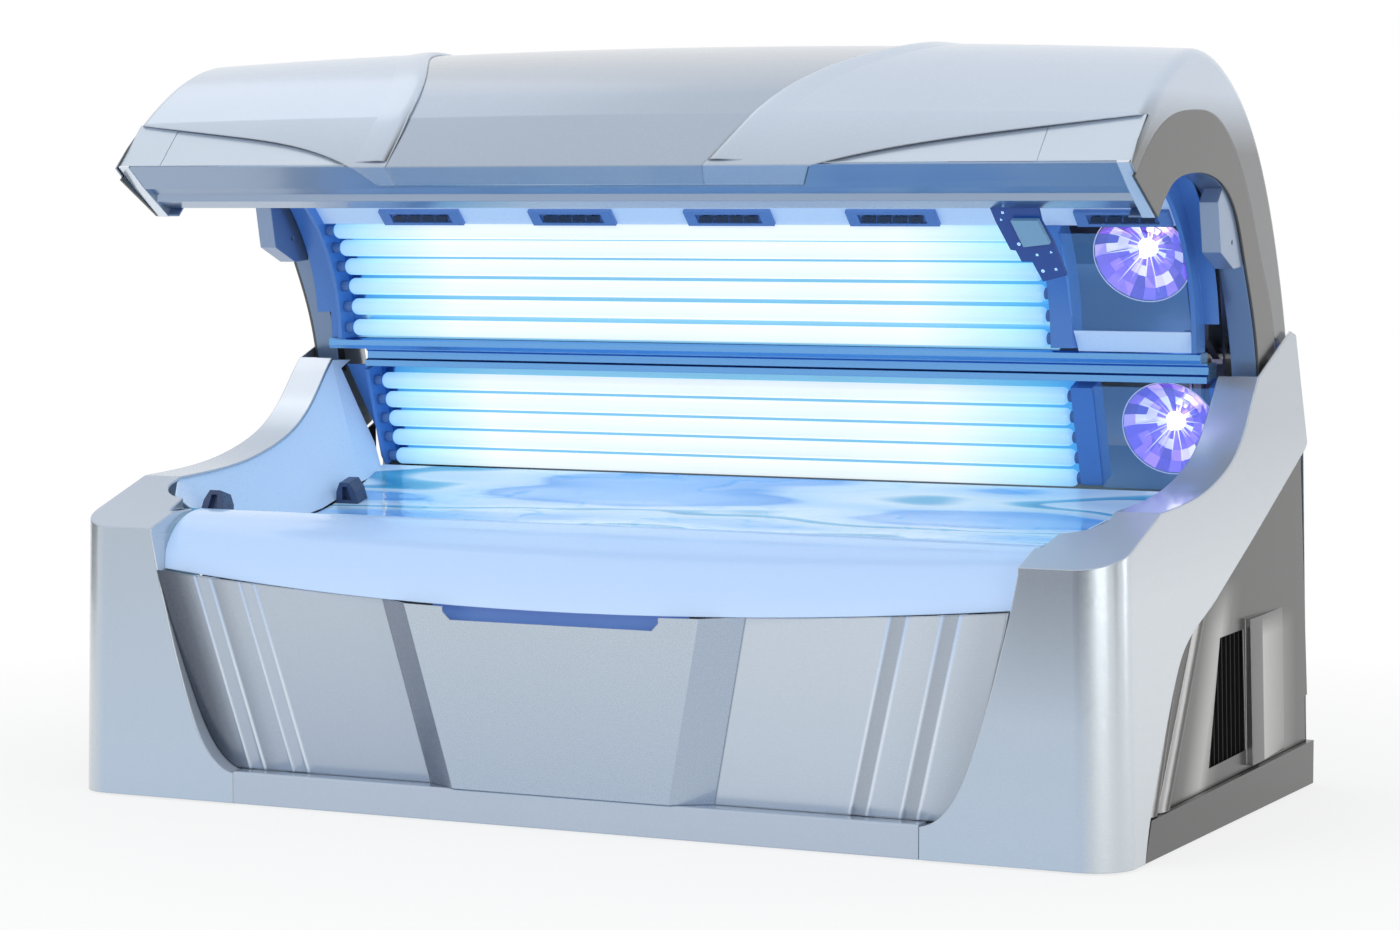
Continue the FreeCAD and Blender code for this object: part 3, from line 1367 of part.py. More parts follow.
recess = size("brow_recess")
node("brow_panel_left", brow_piece(-1, left_seam_x + gap, left_brow_x + BROW_TIP_ROOM, recess))
node("brow_panel_right", brow_piece(1, right_brow_x - BROW_TIP_ROOM, right_seam_x - gap, recess))
cap_end = canopy_half - skin - 2 * gap
caps = [brow_piece(-1, -cap_end, left_seam_x - gap, recess - gap),
        brow_piece(1, right_seam_x + gap, cap_end, recess - gap)]
node("brow_end_caps", Part.makeCompound([caps[0].cut(wing_shells[-1]), caps[1].cut(wing_shells[1])]))


def lip():
    """The folded lip under the canopy's front edge, with its light channel."""
    low = (-size("lip_bottom_y"), size("lip_bottom_z"))
    nose = (-size("lip_front_y") + 6.6, size("lip_front_z") + 0.6)
    run = [nose, (-size("flange_y") + 2.6, size("flange_z") + 3.6), (-434, 1290.5), (-425, 1297),
           (-397, 1279), (-391, 1264), low, (low[0] - 46, low[1] + 86)]
    reach = canopy_half - size("arch_wall") - gap
    return side_prism(folded(run, size("lip_wall")), -reach, reach)


node("lip_profile", lip())


def end_arch():
    """The dark arch panel on the canopy's end."""
    return side_prism(arch_outline(), canopy_half - size("arch_wall"), canopy_half)


arch = end_arch()
node("end_arch_right", arch)
node("end_arch_left", mirrored(arch))


def soffit():
    """The light band on the inside of the arch, from the arch panel to the lamp field."""
    inner = arch_inner()
    outer = inset(list(reversed(inner)), -skin)
    line = list(reversed(inner))
    outline = [line, [line[-1], outer[-1]], list(reversed(outer)), [outer[0], line[0]]]
    return side_prism(outline, canopy_half - 60, canopy_half - size("arch_wall") - gap)


band = soffit()
node("arch_soffits", Part.makeCompound([band, mirrored(band)]))

# ---------------------------------------------------------------- canopy frame and lamp field
reflector_radius = size("lamp_circle") + size("lamp_radius") + size("reflector_gap")


def canopy_frame():
    """Tubes along the canopy, four ribs round the tunnel and the two hinge arms."""
    tube = size("canopy_tube")
    reach = canopy_half - 90
    rear_y, rear_z = 385, 1130
    pieces = [
        box(-reach, reach, rear_y, rear_y + tube, rear_z, rear_z + tube),
        box(-reach, reach, -80, -80 + tube, 1490, 1490 + tube),
        box(-reach, reach, -390, -390 + tube, 1368, 1368 + tube),
    ]
    run = inset(skin_curve(0, 0)[2:-2], step + skin + 3)
    back = reflector_radius + 2 + gap
    start = polar(116, back)
    inner = [polar(angle, back) for angle in (54, 70, 85, 100, 116)]
    room = [polar(22, back + 110), polar(48, back + 70)]
    nose = (start[0] - 34, start[1] + 14)
    outline = [run, [run[-1], (rear_y + tube, rear_z)], [(rear_y + tube, rear_z), room[0]], room,
               [room[-1], inner[0]], inner, [inner[-1], nose], [nose, run[0]]]
    thick = size("rib_wall")
    for x in (-hinge_x, -size("rib_x"), size("rib_x"), hinge_x):
        pieces.append(side_prism(outline, x - thick / 2, x + thick / 2))
    y, z = size("hinge_y"), size("hinge_z")
    top_y, top_z = size("spring_top_y"), size("spring_top_z")
    thick = size("arm_wall")
    for side in (-1, 1):
        x = side * hinge_x
        arm = side_prism(closed([(y + 20, z), (438, rear_z + 4), (rear_y, rear_z + 4),
                                 (top_y - 14, top_z + 30), (top_y - 14, top_z - 8),
                                 (top_y + 4, top_z - 16), (y - 8, z - 20)]), x - thick / 2, x + thick / 2)
        knob = Part.makeCylinder(size("arm_round"), thick, V(x - thick / 2, y, z), V(1, 0, 0))
        hole = Part.makeCylinder(size("pin_radius") + size("pin_clearance"), thick + 2,
                                 V(x - thick / 2 - 1, y, z), V(1, 0, 0))
        pieces.append(arm.fuse(knob).cut(hole))
        stud = rod((x, top_y, top_z), (side * (spring_x - 9), top_y, top_z), size("spring_pin_radius"))
        pieces.append(stud)
    whole = fused(pieces)
    for side in (-1, 1):
        x = side * hinge_x
        hole = Part.makeCylinder(size("pin_radius") + size("pin_clearance"), thick + 20,
                                 V(x - thick / 2 - 10, y, z), V(1, 0, 0))
        whole = whole.cut(hole)
    return whole


node("canopy_frame", canopy_frame())
rail_end = band_inner - size("rail_end_gap")

wall_angles = [size("lamp_first_angle") + size("lamp_pitch_angle") * i
               for i in range(int(size("wall_lamp_count")))]
ceiling_angles = [size("ceiling_first_angle") + size("lamp_pitch_angle") * i
                  for i in range(int(size("ceiling_lamp_count")))]
canopy_spots = [polar(angle, size("lamp_circle")) for angle in wall_angles + ceiling_angles]
lamp_field("canopy_lamps", canopy_spots)
node("canopy_lamp_holders", Part.makeCompound(holders(canopy_spots, -bench_half, post_left)))
ceiling = arc_sheet(reflector_radius, 2, 54, 117, post_left - 1, bay_right)
wall_part = arc_sheet(reflector_radius, 2, 0.1, 117, -bench_half, post_left)
node("canopy_reflector", fused([wall_part, ceiling]))


def canopy_end_frames():
    """Blue walls between the lamp field and the end arches."""
    radius = size("lamp_circle") - size("lamp_radius") - 8
    deep = reflector_radius + 2 - radius
    ends = []
    for x in (bench_half + gap, bay_right + gap):
        edge = x + size("end_frame_width")
        strip = arc_sheet(radius, deep, 0.1, 112, x, edge)
        low_fill = arc_sheet(reflector_radius - 12, 3, 0.1, 9, x, max(rail_end, edge))
        fill = arc_sheet(reflector_radius - 12, 3, 8, 112, edge, canopy_half - 60 - gap)
        ends.append(fused([strip, fill, low_fill]))
    return Part.makeCompound([mirrored(ends[0]), ends[1]])


node("canopy_end_frames", canopy_end_frames())


def canopy_rail():
    """The stepped rail along the lower edge of the canopy's lamp wall."""
    y, z = 214, size("hinge_z") - 24
    outline = closed([(y, z + 8), (y, z + 20), (y + 4, z + 24), (y + 46, z + 24), (y + 46, z),
                      (y + 6, z)])
    return side_prism(outline, -rail_end, rail_end)


node("canopy_rail", canopy_rail())


def strip_line(shift, start=0.0, end=1.0):
    """A run along the vent strip's face, moved towards the user by shift."""
    radius = size("lamp_circle") - 4
    line = [polar(size("strip_first_angle"), radius), polar(size("strip_last_angle"), radius)]
    line = inset([along(line, start), along(line, end)], -shift)
    return line


def strip_prism(near, far, start, end, x_low, x_high):
    """A slab parallel to the vent strip, between two depths and two shares of its width."""
    front_line = strip_line(near, start, end)
    back_line = strip_line(far, start, end)
    return side_prism(closed(front_line + list(reversed(back_line))), x_low, x_high)


def vent_strip():
    """The light strip above the first tube, that the air vents sit in."""
    return strip_prism(0, -3, 0, 1, -bench_half, bay_right)


def vents():
    """Five air vents: frames with upright vanes."""
    solids = []
    length = size("vent_length")
    starts = [size("vent_first") - bench_half + size("vent_pitch") * i for i in range(4)]
    for x in starts + [bay_left + size("bay_vent")]:
        frame = strip_prism(9, gap, 0.06, 0.6, x, x + length)
        slot = strip_prism(12, 3, 0.16, 0.5, x + 26, x + length - 26)
        frame = frame.cut(slot)
        vanes = [strip_prism(7, 2.5, 0.14, 0.52, x + 26 + i * 31, x + 29 + i * 31)
                 for i in range(1, 5)]
        solids.append(fused([frame] + vanes))
    return Part.makeCompound(solids)


node("vent_strip", vent_strip())
node("air_vents", vents())


def canopy_post():
    """The upright between the canopy's lamp wall and its facial bay."""
    radius = size("lamp_circle") - size("lamp_radius") - 8
    upright = arc_sheet(radius, reflector_radius + 2 - radius, 1, 40.5, post_left + gap, bay_left)
    plate = arc_sheet(radius, reflector_radius - gap - radius, 54, 116, post_left + gap, post_left + 4)
    rail = arc_sheet(reflector_radius - 6, 6 - gap, 40.5, 54, post_left + gap, post_left + 12)
    return fused([upright, rail, plate])


node("canopy_post", canopy_post())
upper_middle = polar(28.2, size("lamp_circle") + 8)
node("upper_face_reflector", bowl(upper_middle[0], upper_middle[1], 28.2))
node("upper_face_lamp", bulb(upper_middle[0], upper_middle[1], 28.2))


def upper_glass():
    """Flat filter glass in front of the canopy's facial lamp."""
    first, last = 6, 39.5
    radius = size("lamp_circle") - size("lamp_radius") - 4
    low, high = polar(first, radius), polar(last, radius)
    near = inset([low, high], 0)
    far = inset([low, high], size("glass_wall"))
    return side_prism(closed([near[0], near[1], far[1], far[0]]), bay_left + gap,
                      bay_right)


node("upper_face_glass", upper_glass())


def control_panel():
    """The stepped keypad plate that hangs from the lip, with a square cover on its front."""
    lean = math.degrees(math.atan2(46, 86))
    plate = [(0, 24), (105, 24), (108, -31), (124, -75), (140, -150), (88, -164), (73, -120),
             (51, -120), (43, -95), (32, -93), (12, -31)]
    cover = [(48, -22), (104, -22), (121, -74), (65, -81)]
    solids = []
    for outline, near, far in ((plate, gap, 7), (cover, -11, 0)):
        solid = front_prism(closed(outline), near, far)
        solid.rotate(V(0, 0, 0), V(1, 0, 0), lean)
        solid.translate(V(bay_left + 15, -size("lip_bottom_y"), size("lip_bottom_z")))
        solids.append(solid)
    return Part.makeCompound(solids)


node("control_panel", control_panel())


def grab_handles():
    """Pull-down lugs at both ends, on the inside of the arches."""
    edge = inset(dense(arch_inner(), 61), -gap)
    seat = [point for point in edge if 62 < point[0] < 200]
    outline = [seat, [seat[-1], (44, 1262)], [(44, 1262), (66, 1160)], [(66, 1160), (150, 1126)],
               [(150, 1126), (208, 1130)], [(208, 1130), seat[0]]]
    end = canopy_half - size("arch_wall") - gap
    lug = side_prism(outline, end - size("handle_width"), end)
    hole = Part.makeCylinder(5, size("handle_width") + 2, V(end - size("handle_width") - 1, 138, 1180),
                             V(1, 0, 0))
    lug = lug.cut(hole)
    return Part.makeCompound([lug, mirrored(lug)])


node("grab_handles", grab_handles())


def canopy_fan():
    """The body-cooling fan in the roof: a ring housing on a cross plate."""
    x, y = size("canopy_fan_inset") - bench_half, -size("canopy_fan_y")
    radius = size("canopy_fan_radius")
    z = 1430
    ring = Part.makeCylinder(radius + 5, 50, V(x, y, z), V(0, 0, 1)).cut(
        Part.makeCylinder(radius + 2, 50, V(x, y, z), V(0, 0, 1)))
    motor = Part.makeCylinder(26, 14, V(x, y, z), V(0, 0, 1))
    bore = Part.makeCylinder(size("shaft_radius") + size("pin_clearance"), 14, V(x, y, z), V(0, 0, 1))
    arms = [box(x - radius - 3, x + radius + 3, y - 5, y + 5, z, z + 5),
            box(x - 5, x + 5, y - radius - 3, y + radius + 3, z, z + 5)]
    plate = box(-hinge_x + 4 + gap, -size("rib_x") - 4 - gap, y - radius - 12, y + radius + 12, z - 4, z)
    throat = Part.makeCylinder(radius + 2, 4, V(x, y, z - 4), V(0, 0, 1))
    return fused([plate.cut(throat), ring, motor] + arms).cut(bore)


node("canopy_fan_housing", canopy_fan())


def canopy_wheel():
    """The axial fan wheel: hub, shaft and seven pitched blades."""
    x, y = size("canopy_fan_inset") - bench_half, -size("canopy_fan_y")
    z = 1430 + 14.5
    hub = Part.makeCylinder(24, 26, V(x, y, z), V(0, 0, 1))
    shaft = Part.makeCylinder(size("shaft_radius"), 14, V(x, y, z - 13), V(0, 0, 1))
    pieces = [hub, shaft]
    count = 7
    for i in range(count):
        blade = box(20, size("canopy_fan_radius") - 1, -15, 15, 12, 14.5)
        blade.rotate(V(0, 0, 13), V(1, 0, 0), 32)
        blade.rotate(V(0, 0, 0), V(0, 0, 1), 360 * i / count)
        blade.translate(V(x, y, z))
        pieces.append(blade)
    return fused(pieces)


node("canopy_fan_wheel", canopy_wheel())

# ---------------------------------------------------------------- check and export
doc.recompute()
os.makedirs("parts", exist_ok=True)
SUB_PARTS = ("Part::Feature", "PartDesign::Body", "Part::Compound")
used = {item for group in doc.Objects if group.TypeId == "Part::Compound" for item in group.Links}
names = []
for item in doc.Objects:
    if "Invalid" in item.State or "Error" in item.State:
        raise RuntimeError("%s failed: %s" % (item.Label, item.State))
for item in doc.Objects:
    if item.TypeId in SUB_PARTS and item not in used:
        if item.Shape.isNull() or not item.Shape.isValid():
            raise RuntimeError("%s has no valid shape" % item.Label)
        item.Shape.exportStep("parts/%s.step" % item.Label)
        names.append(item.Label)
        bounds = item.Shape.BoundBox
        print("%-24s solids %3d  volume %9.0f cm3  x %6.0f %6.0f  y %5.0f %5.0f  z %5.0f %5.0f" % (
            item.Label, len(item.Shape.Solids), item.Shape.Volume / 1000, bounds.XMin, bounds.XMax,
            bounds.YMin, bounds.YMax, bounds.ZMin, bounds.ZMax))
print(len(names), "sub-parts")
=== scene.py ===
import json
import math
import random

import bmesh
import bpy
from mathutils import Matrix, Vector
from mathutils.bvhtree import BVHTree


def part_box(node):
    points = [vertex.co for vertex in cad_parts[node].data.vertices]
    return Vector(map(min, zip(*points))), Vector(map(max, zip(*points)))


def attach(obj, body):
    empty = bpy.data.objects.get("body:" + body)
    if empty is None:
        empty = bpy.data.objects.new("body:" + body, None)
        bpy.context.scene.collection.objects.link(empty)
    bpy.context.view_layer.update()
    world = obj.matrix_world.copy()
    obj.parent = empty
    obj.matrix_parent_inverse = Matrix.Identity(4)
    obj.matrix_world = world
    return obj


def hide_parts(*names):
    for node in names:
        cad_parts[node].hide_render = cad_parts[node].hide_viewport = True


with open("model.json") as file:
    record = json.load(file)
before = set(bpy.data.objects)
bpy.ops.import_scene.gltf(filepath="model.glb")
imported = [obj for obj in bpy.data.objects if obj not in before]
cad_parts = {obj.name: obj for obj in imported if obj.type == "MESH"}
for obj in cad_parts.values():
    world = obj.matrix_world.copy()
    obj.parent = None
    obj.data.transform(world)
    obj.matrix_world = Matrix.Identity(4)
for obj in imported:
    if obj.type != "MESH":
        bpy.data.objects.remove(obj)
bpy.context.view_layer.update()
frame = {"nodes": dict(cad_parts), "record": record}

MM = 0.001
nodes = frame["nodes"]


# ---------------- camera
CAMERA_PLACE = (3.469, -7.151, 1.252)
CAMERA_PITCH = 3.977
CAMERA_AZIMUTH = 25.842
IMAGE_WIDTH = 1400
FOCAL_PIXELS = 3709.8
SENSOR = 36.0


def make_camera():
    """A long lens at the reference viewing angle."""
    data = bpy.data.cameras.new("camera")
    data.sensor_width = SENSOR
    data.lens = SENSOR * FOCAL_PIXELS / IMAGE_WIDTH
    data.clip_end = 60
    camera = bpy.data.objects.new("camera", data)
    camera.location = CAMERA_PLACE
    camera.rotation_euler = (math.radians(90 - CAMERA_PITCH), 0, math.radians(CAMERA_AZIMUTH))
    bpy.context.collection.objects.link(camera)
    bpy.context.scene.camera = camera


# ---------------- material helpers
# Painted shade and painted highlights across a front panel, by the share of the way out: how dark the
# painted shade is at each end of the bed, and how bright the painted highlights on the flutes' rims are.
PANEL_LINE = (0.55, 0.90)
RIM_HIGHLIGHT_HEIGHTS = (0.28, 0.48)
FOOT_END_PAINTED_SHADE = [(0.0, 0.0), (0.24, 0.02), (0.32, 0.10), (0.42, 0.38), (0.438, 0.10), (0.539, 0.10),
                  (0.55, 0.30), (0.61, 0.65), (0.68, 0.90), (0.76, 1.0)]
HEAD_END_PAINTED_SHADE = [(0.0, 0.0), (0.132, 0.0), (0.14, 0.42), (0.225, 0.38), (0.235, 0.0), (0.43, 0.08),
                  (0.446, 0.42), (0.53, 0.38), (0.54, 0.04), (0.70, 0.22), (1.0, 0.30)]
RIM_PAINTED_HIGHLIGHTS = [(0.0, 0.0), (0.115, 0.0), (0.128, 1.0), (0.145, 0.06), (0.220, 0.06), (0.237, 1.0),
             (0.250, 0.0), (0.420, 0.0), (0.434, 1.0), (0.451, 0.06), (0.526, 0.06), (0.543, 1.0),
             (0.557, 0.0)]
# Painted highlights on the side panels, in metres: a slanting sweep, and one out of the air scoop.
SWEEP_SLOPE = 0.5
SWEEP_LINE = (-0.34, -0.06)
SWEEP_TOP = (0.40, 0.50)
SWEEP_PAINTED_HIGHLIGHTS = [(0.0, 0.0), (0.2, 0.12), (0.5, 0.85), (0.6, 1.0), (0.8, 0.25), (1.0, 0.0)]
SCOOP_FRONT = (0.268, 0.276)
SCOOP_FADE = (0.28, 0.54)
SCOOP_TOP = (0.36, 0.40)
# Painted shade on the top of the head-end pillar, by height and along the bed.
PILLAR_SHADE_HEIGHTS = [(0.28, 0.0), (0.55, 1.0), (0.63, 1.0), (0.68, 0.0)]
PILLAR_SHADE_REACH = (0.6, 1.0)
# Where a lit tube fades towards its two ends.
LEFT_FADE = (-0.99, -0.70)
RIGHT_FADE = (0.42, 0.74)


class Shader:
    """A node material with a Principled shader and short calls to add nodes to it."""

    def __init__(self, name):
        self.material = bpy.data.materials.new(name)
        self.material.use_nodes = True
        self.tree = self.material.node_tree
        self.surface = self.tree.nodes["Principled BSDF"]
        self.place = self.add("ShaderNodeTexCoord").outputs["Object"]

    def add(self, kind, **values):
        node = self.tree.nodes.new(kind)
        for key, value in values.items():
            setattr(node, key, value)
        return node

    def link(self, source, target):
        self.tree.links.new(source, target)

    def put(self, **values):
        """Sets the shader's own sockets; a name's underscores stand for spaces."""
        for key, value in values.items():
            socket = self.surface.inputs[key.replace("_", " ")]
            if hasattr(value, "is_output"):
                self.link(value, socket)
            else:
                socket.default_value = (*value, 1) if isinstance(value, tuple) else value

    def noise(self, scale, detail=2.0, stretch=(1, 1, 1), rough=0.5):
        """A noise value on the object's own coordinates, stretched along axes."""
        mapping = self.add("ShaderNodeMapping")
        mapping.inputs["Scale"].default_value = stretch
        self.link(self.place, mapping.inputs["Vector"])
        texture = self.add("ShaderNodeTexNoise")
        texture.inputs["Scale"].default_value = scale
        texture.inputs["Detail"].default_value = detail
        texture.inputs["Roughness"].default_value = rough
        self.link(mapping.outputs["Vector"], texture.inputs["Vector"])
        return texture.outputs["Fac"]

    def ramp(self, factor, stops):
        """A colour ramp over a value; stops are (position, (r, g, b))."""
        node = self.add("ShaderNodeValToRGB")
        points = node.color_ramp.elements
        while len(points) < len(stops):
            points.new(0.5)
        for point, (position, colour) in zip(points, stops):
            point.position = position
            point.color = (*colour, 1)
        self.link(factor, node.inputs["Fac"])
        return node.outputs["Color"]

    def grey_ramp(self, factor, stops):
        """A ramp of plain shades; stops are (position, shade)."""
        return self.ramp(factor, [(position, (shade,) * 3) for position, shade in stops])

    def spread(self, value, low, high, to_low, to_high):
        """Maps one range of a value to another."""
        node = self.add("ShaderNodeMapRange")
        for name, number in (("From Min", low), ("From Max", high), ("To Min", to_low),
                             ("To Max", to_high)):
            node.inputs[name].default_value = number
        self.link(value, node.inputs["Value"])
        return node.outputs["Result"]

    def axis(self, letter):
        """One of the object's own coordinates, in metres."""
        node = self.add("ShaderNodeSeparateXYZ")
        self.link(self.place, node.inputs["Vector"])
        return node.outputs[letter.upper()]

    def facing(self, letter):
        """One part of the surface's own normal, from -1 to 1."""
        node = self.add("ShaderNodeSeparateXYZ")
        self.link(self.add("ShaderNodeNewGeometry").outputs["Normal"], node.inputs["Vector"])
        return node.outputs[letter]

    def maths(self, operation, first, second=0.0):
        node = self.add("ShaderNodeMath", operation=operation)
        for socket, value in zip(node.inputs, (first, second)):
            if hasattr(value, "is_output"):
                self.link(value, socket)
            else:
                socket.default_value = value
        return node.outputs["Value"]

    def mix(self, factor, first, second):
        node = self.add("ShaderNodeMix", data_type="RGBA")
        for socket, value in ((node.inputs[0], factor), (node.inputs[6], first),
                              (node.inputs[7], second)):
            if hasattr(value, "is_output"):
                self.link(value, socket)
            else:
                socket.default_value = (*value, 1) if isinstance(value, tuple) else value
        return node.outputs[2]

    def relief(self, height, strength, distance, round_edge=0.0):
        """Bump from a height value, over softened edges."""
        bump = self.add("ShaderNodeBump")
        bump.inputs["Strength"].default_value = strength
        bump.inputs["Distance"].default_value = distance
        self.link(height, bump.inputs["Height"])
        if round_edge:
            bevel = self.add("ShaderNodeBevel", samples=6)
            bevel.inputs["Radius"].default_value = round_edge
            self.link(bevel.outputs["Normal"], bump.inputs["Normal"])
        self.link(bump.outputs["Normal"], self.surface.inputs["Normal"])


def painted_panel_shading(shader, base):
    """Painted shade and painted highlights on a front panel, in stripes along lines that slant with its two
    flutes.
    """
    across = shader.maths("ABSOLUTE", shader.axis("x"))
    slant = shader.maths("MULTIPLY", shader.axis("z"), FLUTE_SLANT)
    line = shader.spread(shader.maths("SUBTRACT", across, slant), *PANEL_LINE, 0.0, 1.0)
    # Painted shade for each end of the bed, and painted highlights on the flutes' rims.
    foot_shade, head_shade, rims = [shader.grey_ramp(line, shades)
                                for shades in (FOOT_END_PAINTED_SHADE, HEAD_END_PAINTED_SHADE, RIM_PAINTED_HIGHLIGHTS)]
    end = shader.spread(shader.axis("x"), -0.1, 0.1, 0.0, 1.0)
    # How much painted shade falls, blended from the foot end to the head end.
    dark = shader.mix(end, foot_shade, head_shade)
    # The rims' painted highlight: pale near the foot, bluer towards the top.
    rim_light = shader.mix(shader.spread(shader.axis("z"), *RIM_HIGHLIGHT_HEIGHTS, 0.0, 1.0),
                        (0.82, 0.90, 1.0), (0.50, 0.68, 1.0))
    # The head-end panel is painted lighter: painted light.
    base = shader.mix(shader.maths("MULTIPLY", end, 0.28), base, (0.86, 0.93, 1.0))
    # Mixes in the painted shade's near-black, then the rims' painted highlight.
    return shader.mix(rims, shader.mix(dark, base, (0.012, 0.022, 0.048)), rim_light)


def painted_side_sweeps(shader, base):
    """Painted highlights on the dark side panels: a lighter sweep up the broad flute, and one out of the
    air scoop.
    """
    deep, height = shader.axis("y"), shader.axis("z")
    line = shader.maths("SUBTRACT", deep, shader.maths("MULTIPLY", height, SWEEP_SLOPE))
    flute = shader.grey_ramp(shader.spread(line, *SWEEP_LINE, 0.0, 1.0), SWEEP_PAINTED_HIGHLIGHTS)
    flute = shader.maths("MULTIPLY", flute, shader.spread(height, *SWEEP_TOP, 1.0, 0.0))
    scoop = shader.maths("MULTIPLY", shader.spread(deep, *SCOOP_FADE, 1.0, 0.0),
                         shader.spread(deep, *SCOOP_FRONT, 0.0, 1.0))
    scoop = shader.maths("MULTIPLY", scoop, shader.spread(height, *SCOOP_TOP, 1.0, 0.0))
    # The painted highlight's colour, where either sweep falls.
    return shader.mix(shader.maths("MAXIMUM", flute, scoop), base, (0.46, 0.46, 0.45))


def metallic_paint(name, colour, metallic=0.6, rough=0.24, round_edge=0.004, coat=0.4, low=None,
                   high=None, side=None, side_high=None, top=None, front=None, fade=(0.05, 0.75),
                   side_fade=None, stripe_shade=False, pillar_top_shade=None, high_fade=(0.66, 0.80),
                   side_plus=None, painted_sweeps=False):
    """Silver car-like paint with a fine flake, and painted light and shade: lighter and darker by height
    and by which way a face looks.
    """
    shader = Shader(name)
    flake = shader.noise(1400, 1.0)
    cloud = shader.noise(2.4, 3.0)
    dark = tuple(channel * 0.92 for channel in colour)
    base = shader.mix(cloud, dark, colour)
    # A colour towards the foot: painted shade on most paints, painted blue light on the silver.
    if low:
        height = shader.spread(shader.axis("z"), *fade, 1.0, 0.0)
        base = shader.mix(height, base, low)
    # A lighter colour towards the top: painted light.
    if high:
        lifted = shader.spread(shader.axis("z"), *high_fade, 0.0, 1.0)
        base = shader.mix(lifted, base, high)
    # Painted shade over the top of the head-end pillar.
    if pillar_top_shade:
        height = shader.grey_ramp(shader.axis("z"), PILLAR_SHADE_HEIGHTS)
        end = shader.spread(shader.axis("x"), *PILLAR_SHADE_REACH, 0.0, 1.0)
        base = shader.mix(shader.maths("MULTIPLY", height, end), base, pillar_top_shade)
    if stripe_shade:
        base = painted_panel_shading(shader, base)
    if painted_sweeps:
        base = painted_side_sweeps(shader, base)
    # Faces that look along the bed take the side colour, with a height fade where given; on the silver and
    # the door this is painted light and shade.
    if side:
        sideways = shader.spread(shader.maths("ABSOLUTE", shader.facing("X")), 0.12, 0.45, 0.0, 1.0)
        if side_fade:
            height = shader.spread(shader.axis("z"), *side_fade, 1.0, 0.0)
            side = shader.mix(height, side_high or base, side)
        if side_plus:
            side = shader.mix(shader.spread(shader.facing("X"), -0.1, 0.1, 0.0, 1.0), side, side_plus)
        base = shader.mix(sideways, base, side)
    # Faces that look towards the user take the front colour: a painted highlight on the bronze.
    if front:
        base = shader.mix(shader.spread(shader.facing("Y"), -0.55, -0.12, 1.0, 0.0), base, front)
    # Faces that look up take the top colour and lose their metal: painted light.
    if top:
        upward = shader.spread(shader.facing("Z"), 0.12, 0.45, 0.0, 1.0)
        if high:
            upward = shader.maths("MULTIPLY", upward, shader.maths("SUBTRACT", 1.0, lifted))
        base = shader.mix(upward, base, top)
        shader.put(Metallic=shader.spread(upward, 0.0, 1.0, metallic, 0.08))
    else:
        shader.put(Metallic=metallic)
    # Lighter flake specks: painted glints.
    glint = tuple(min(1.0, channel * 1.5) for channel in colour)
    base = shader.mix(shader.spread(flake, 0.3, 0.7, 0.0, 0.16), base, glint)
    shader.put(Base_Color=base, Coat_Weight=coat, Coat_Roughness=0.08,
               Roughness=shader.spread(flake, 0.25, 0.75, rough - 0.03, rough + 0.04))
    shader.relief(flake, 0.015, 0.0003, round_edge)
    return shader.material


def moulded_plastic(name, colour, rough=0.45, grain=260, glow=None, strength=0.0, metallic=0.0):
    """Moulded plastic with a fine grain, and an even glow: the light of lamps and lit keys, and painted
    light on parts that lamps nearby shine on.
    """
    shader = Shader(name)
    fine = shader.noise(grain, 3.0)
    cloud = shader.noise(2.2, 2.0)
    base = shader.mix(cloud, tuple(channel * 0.9 for channel in colour), colour)
    shader.put(Base_Color=base, Metallic=metallic,
               Roughness=shader.spread(fine, 0.3, 0.7, rough - 0.05, rough + 0.06))
    # On the burners and keys the glow is their own light; on the frames, liners, grip recess and bowl rims
    # it is painted light.
    if glow:
        shader.put(Emission_Color=glow, Emission_Strength=strength)
    shader.relief(fine, 0.03, 0.0003, 2 * MM)
    return shader.material


def brushed_metal(name, colour, rough=0.28, along="x"):
    """Extruded or rolled metal with fine lines along one axis."""
    shader = Shader(name)
    stretch = {"x": (0.01, 1, 1), "z": (1, 1, 0.01)}[along]
    lines = shader.noise(900, 3.0, stretch)
    base = shader.mix(lines, tuple(channel * 0.82 for channel in colour), colour)
    shader.put(Base_Color=base, Metallic=1.0,
               Roughness=shader.spread(lines, 0.3, 0.7, rough - 0.06, rough + 0.08))
    shader.relief(lines, 0.06, 0.0003, 1 * MM)
    return shader.material


def lamp_glass(name, strength):
    """A lit fluorescent tube: near white in the middle, cooler and dimmer towards its ends."""
    shader = Shader(name)
    run = shader.axis("x")
    left = shader.spread(run, *LEFT_FADE, 0.0, 1.0)
    right = shader.spread(run, *RIGHT_FADE, 1.0, 0.0)
    middle = shader.maths("MULTIPLY", left, right)
    colour = shader.ramp(middle, [(0.0, (0.20, 0.52, 1.0)), (0.3, (0.42, 0.80, 1.0)),
                                  (1.0, (0.92, 0.99, 1.0))])
    cloud = shader.spread(shader.noise(1.7, 2.0, (1, 0.1, 0.1)), 0.3, 0.7, 0.92, 1.06)
    shader.put(Base_Color=(0.30, 0.34, 0.38), Roughness=0.12, Emission_Color=colour,
               Emission_Strength=shader.maths("MULTIPLY", cloud, strength))
    return shader.material


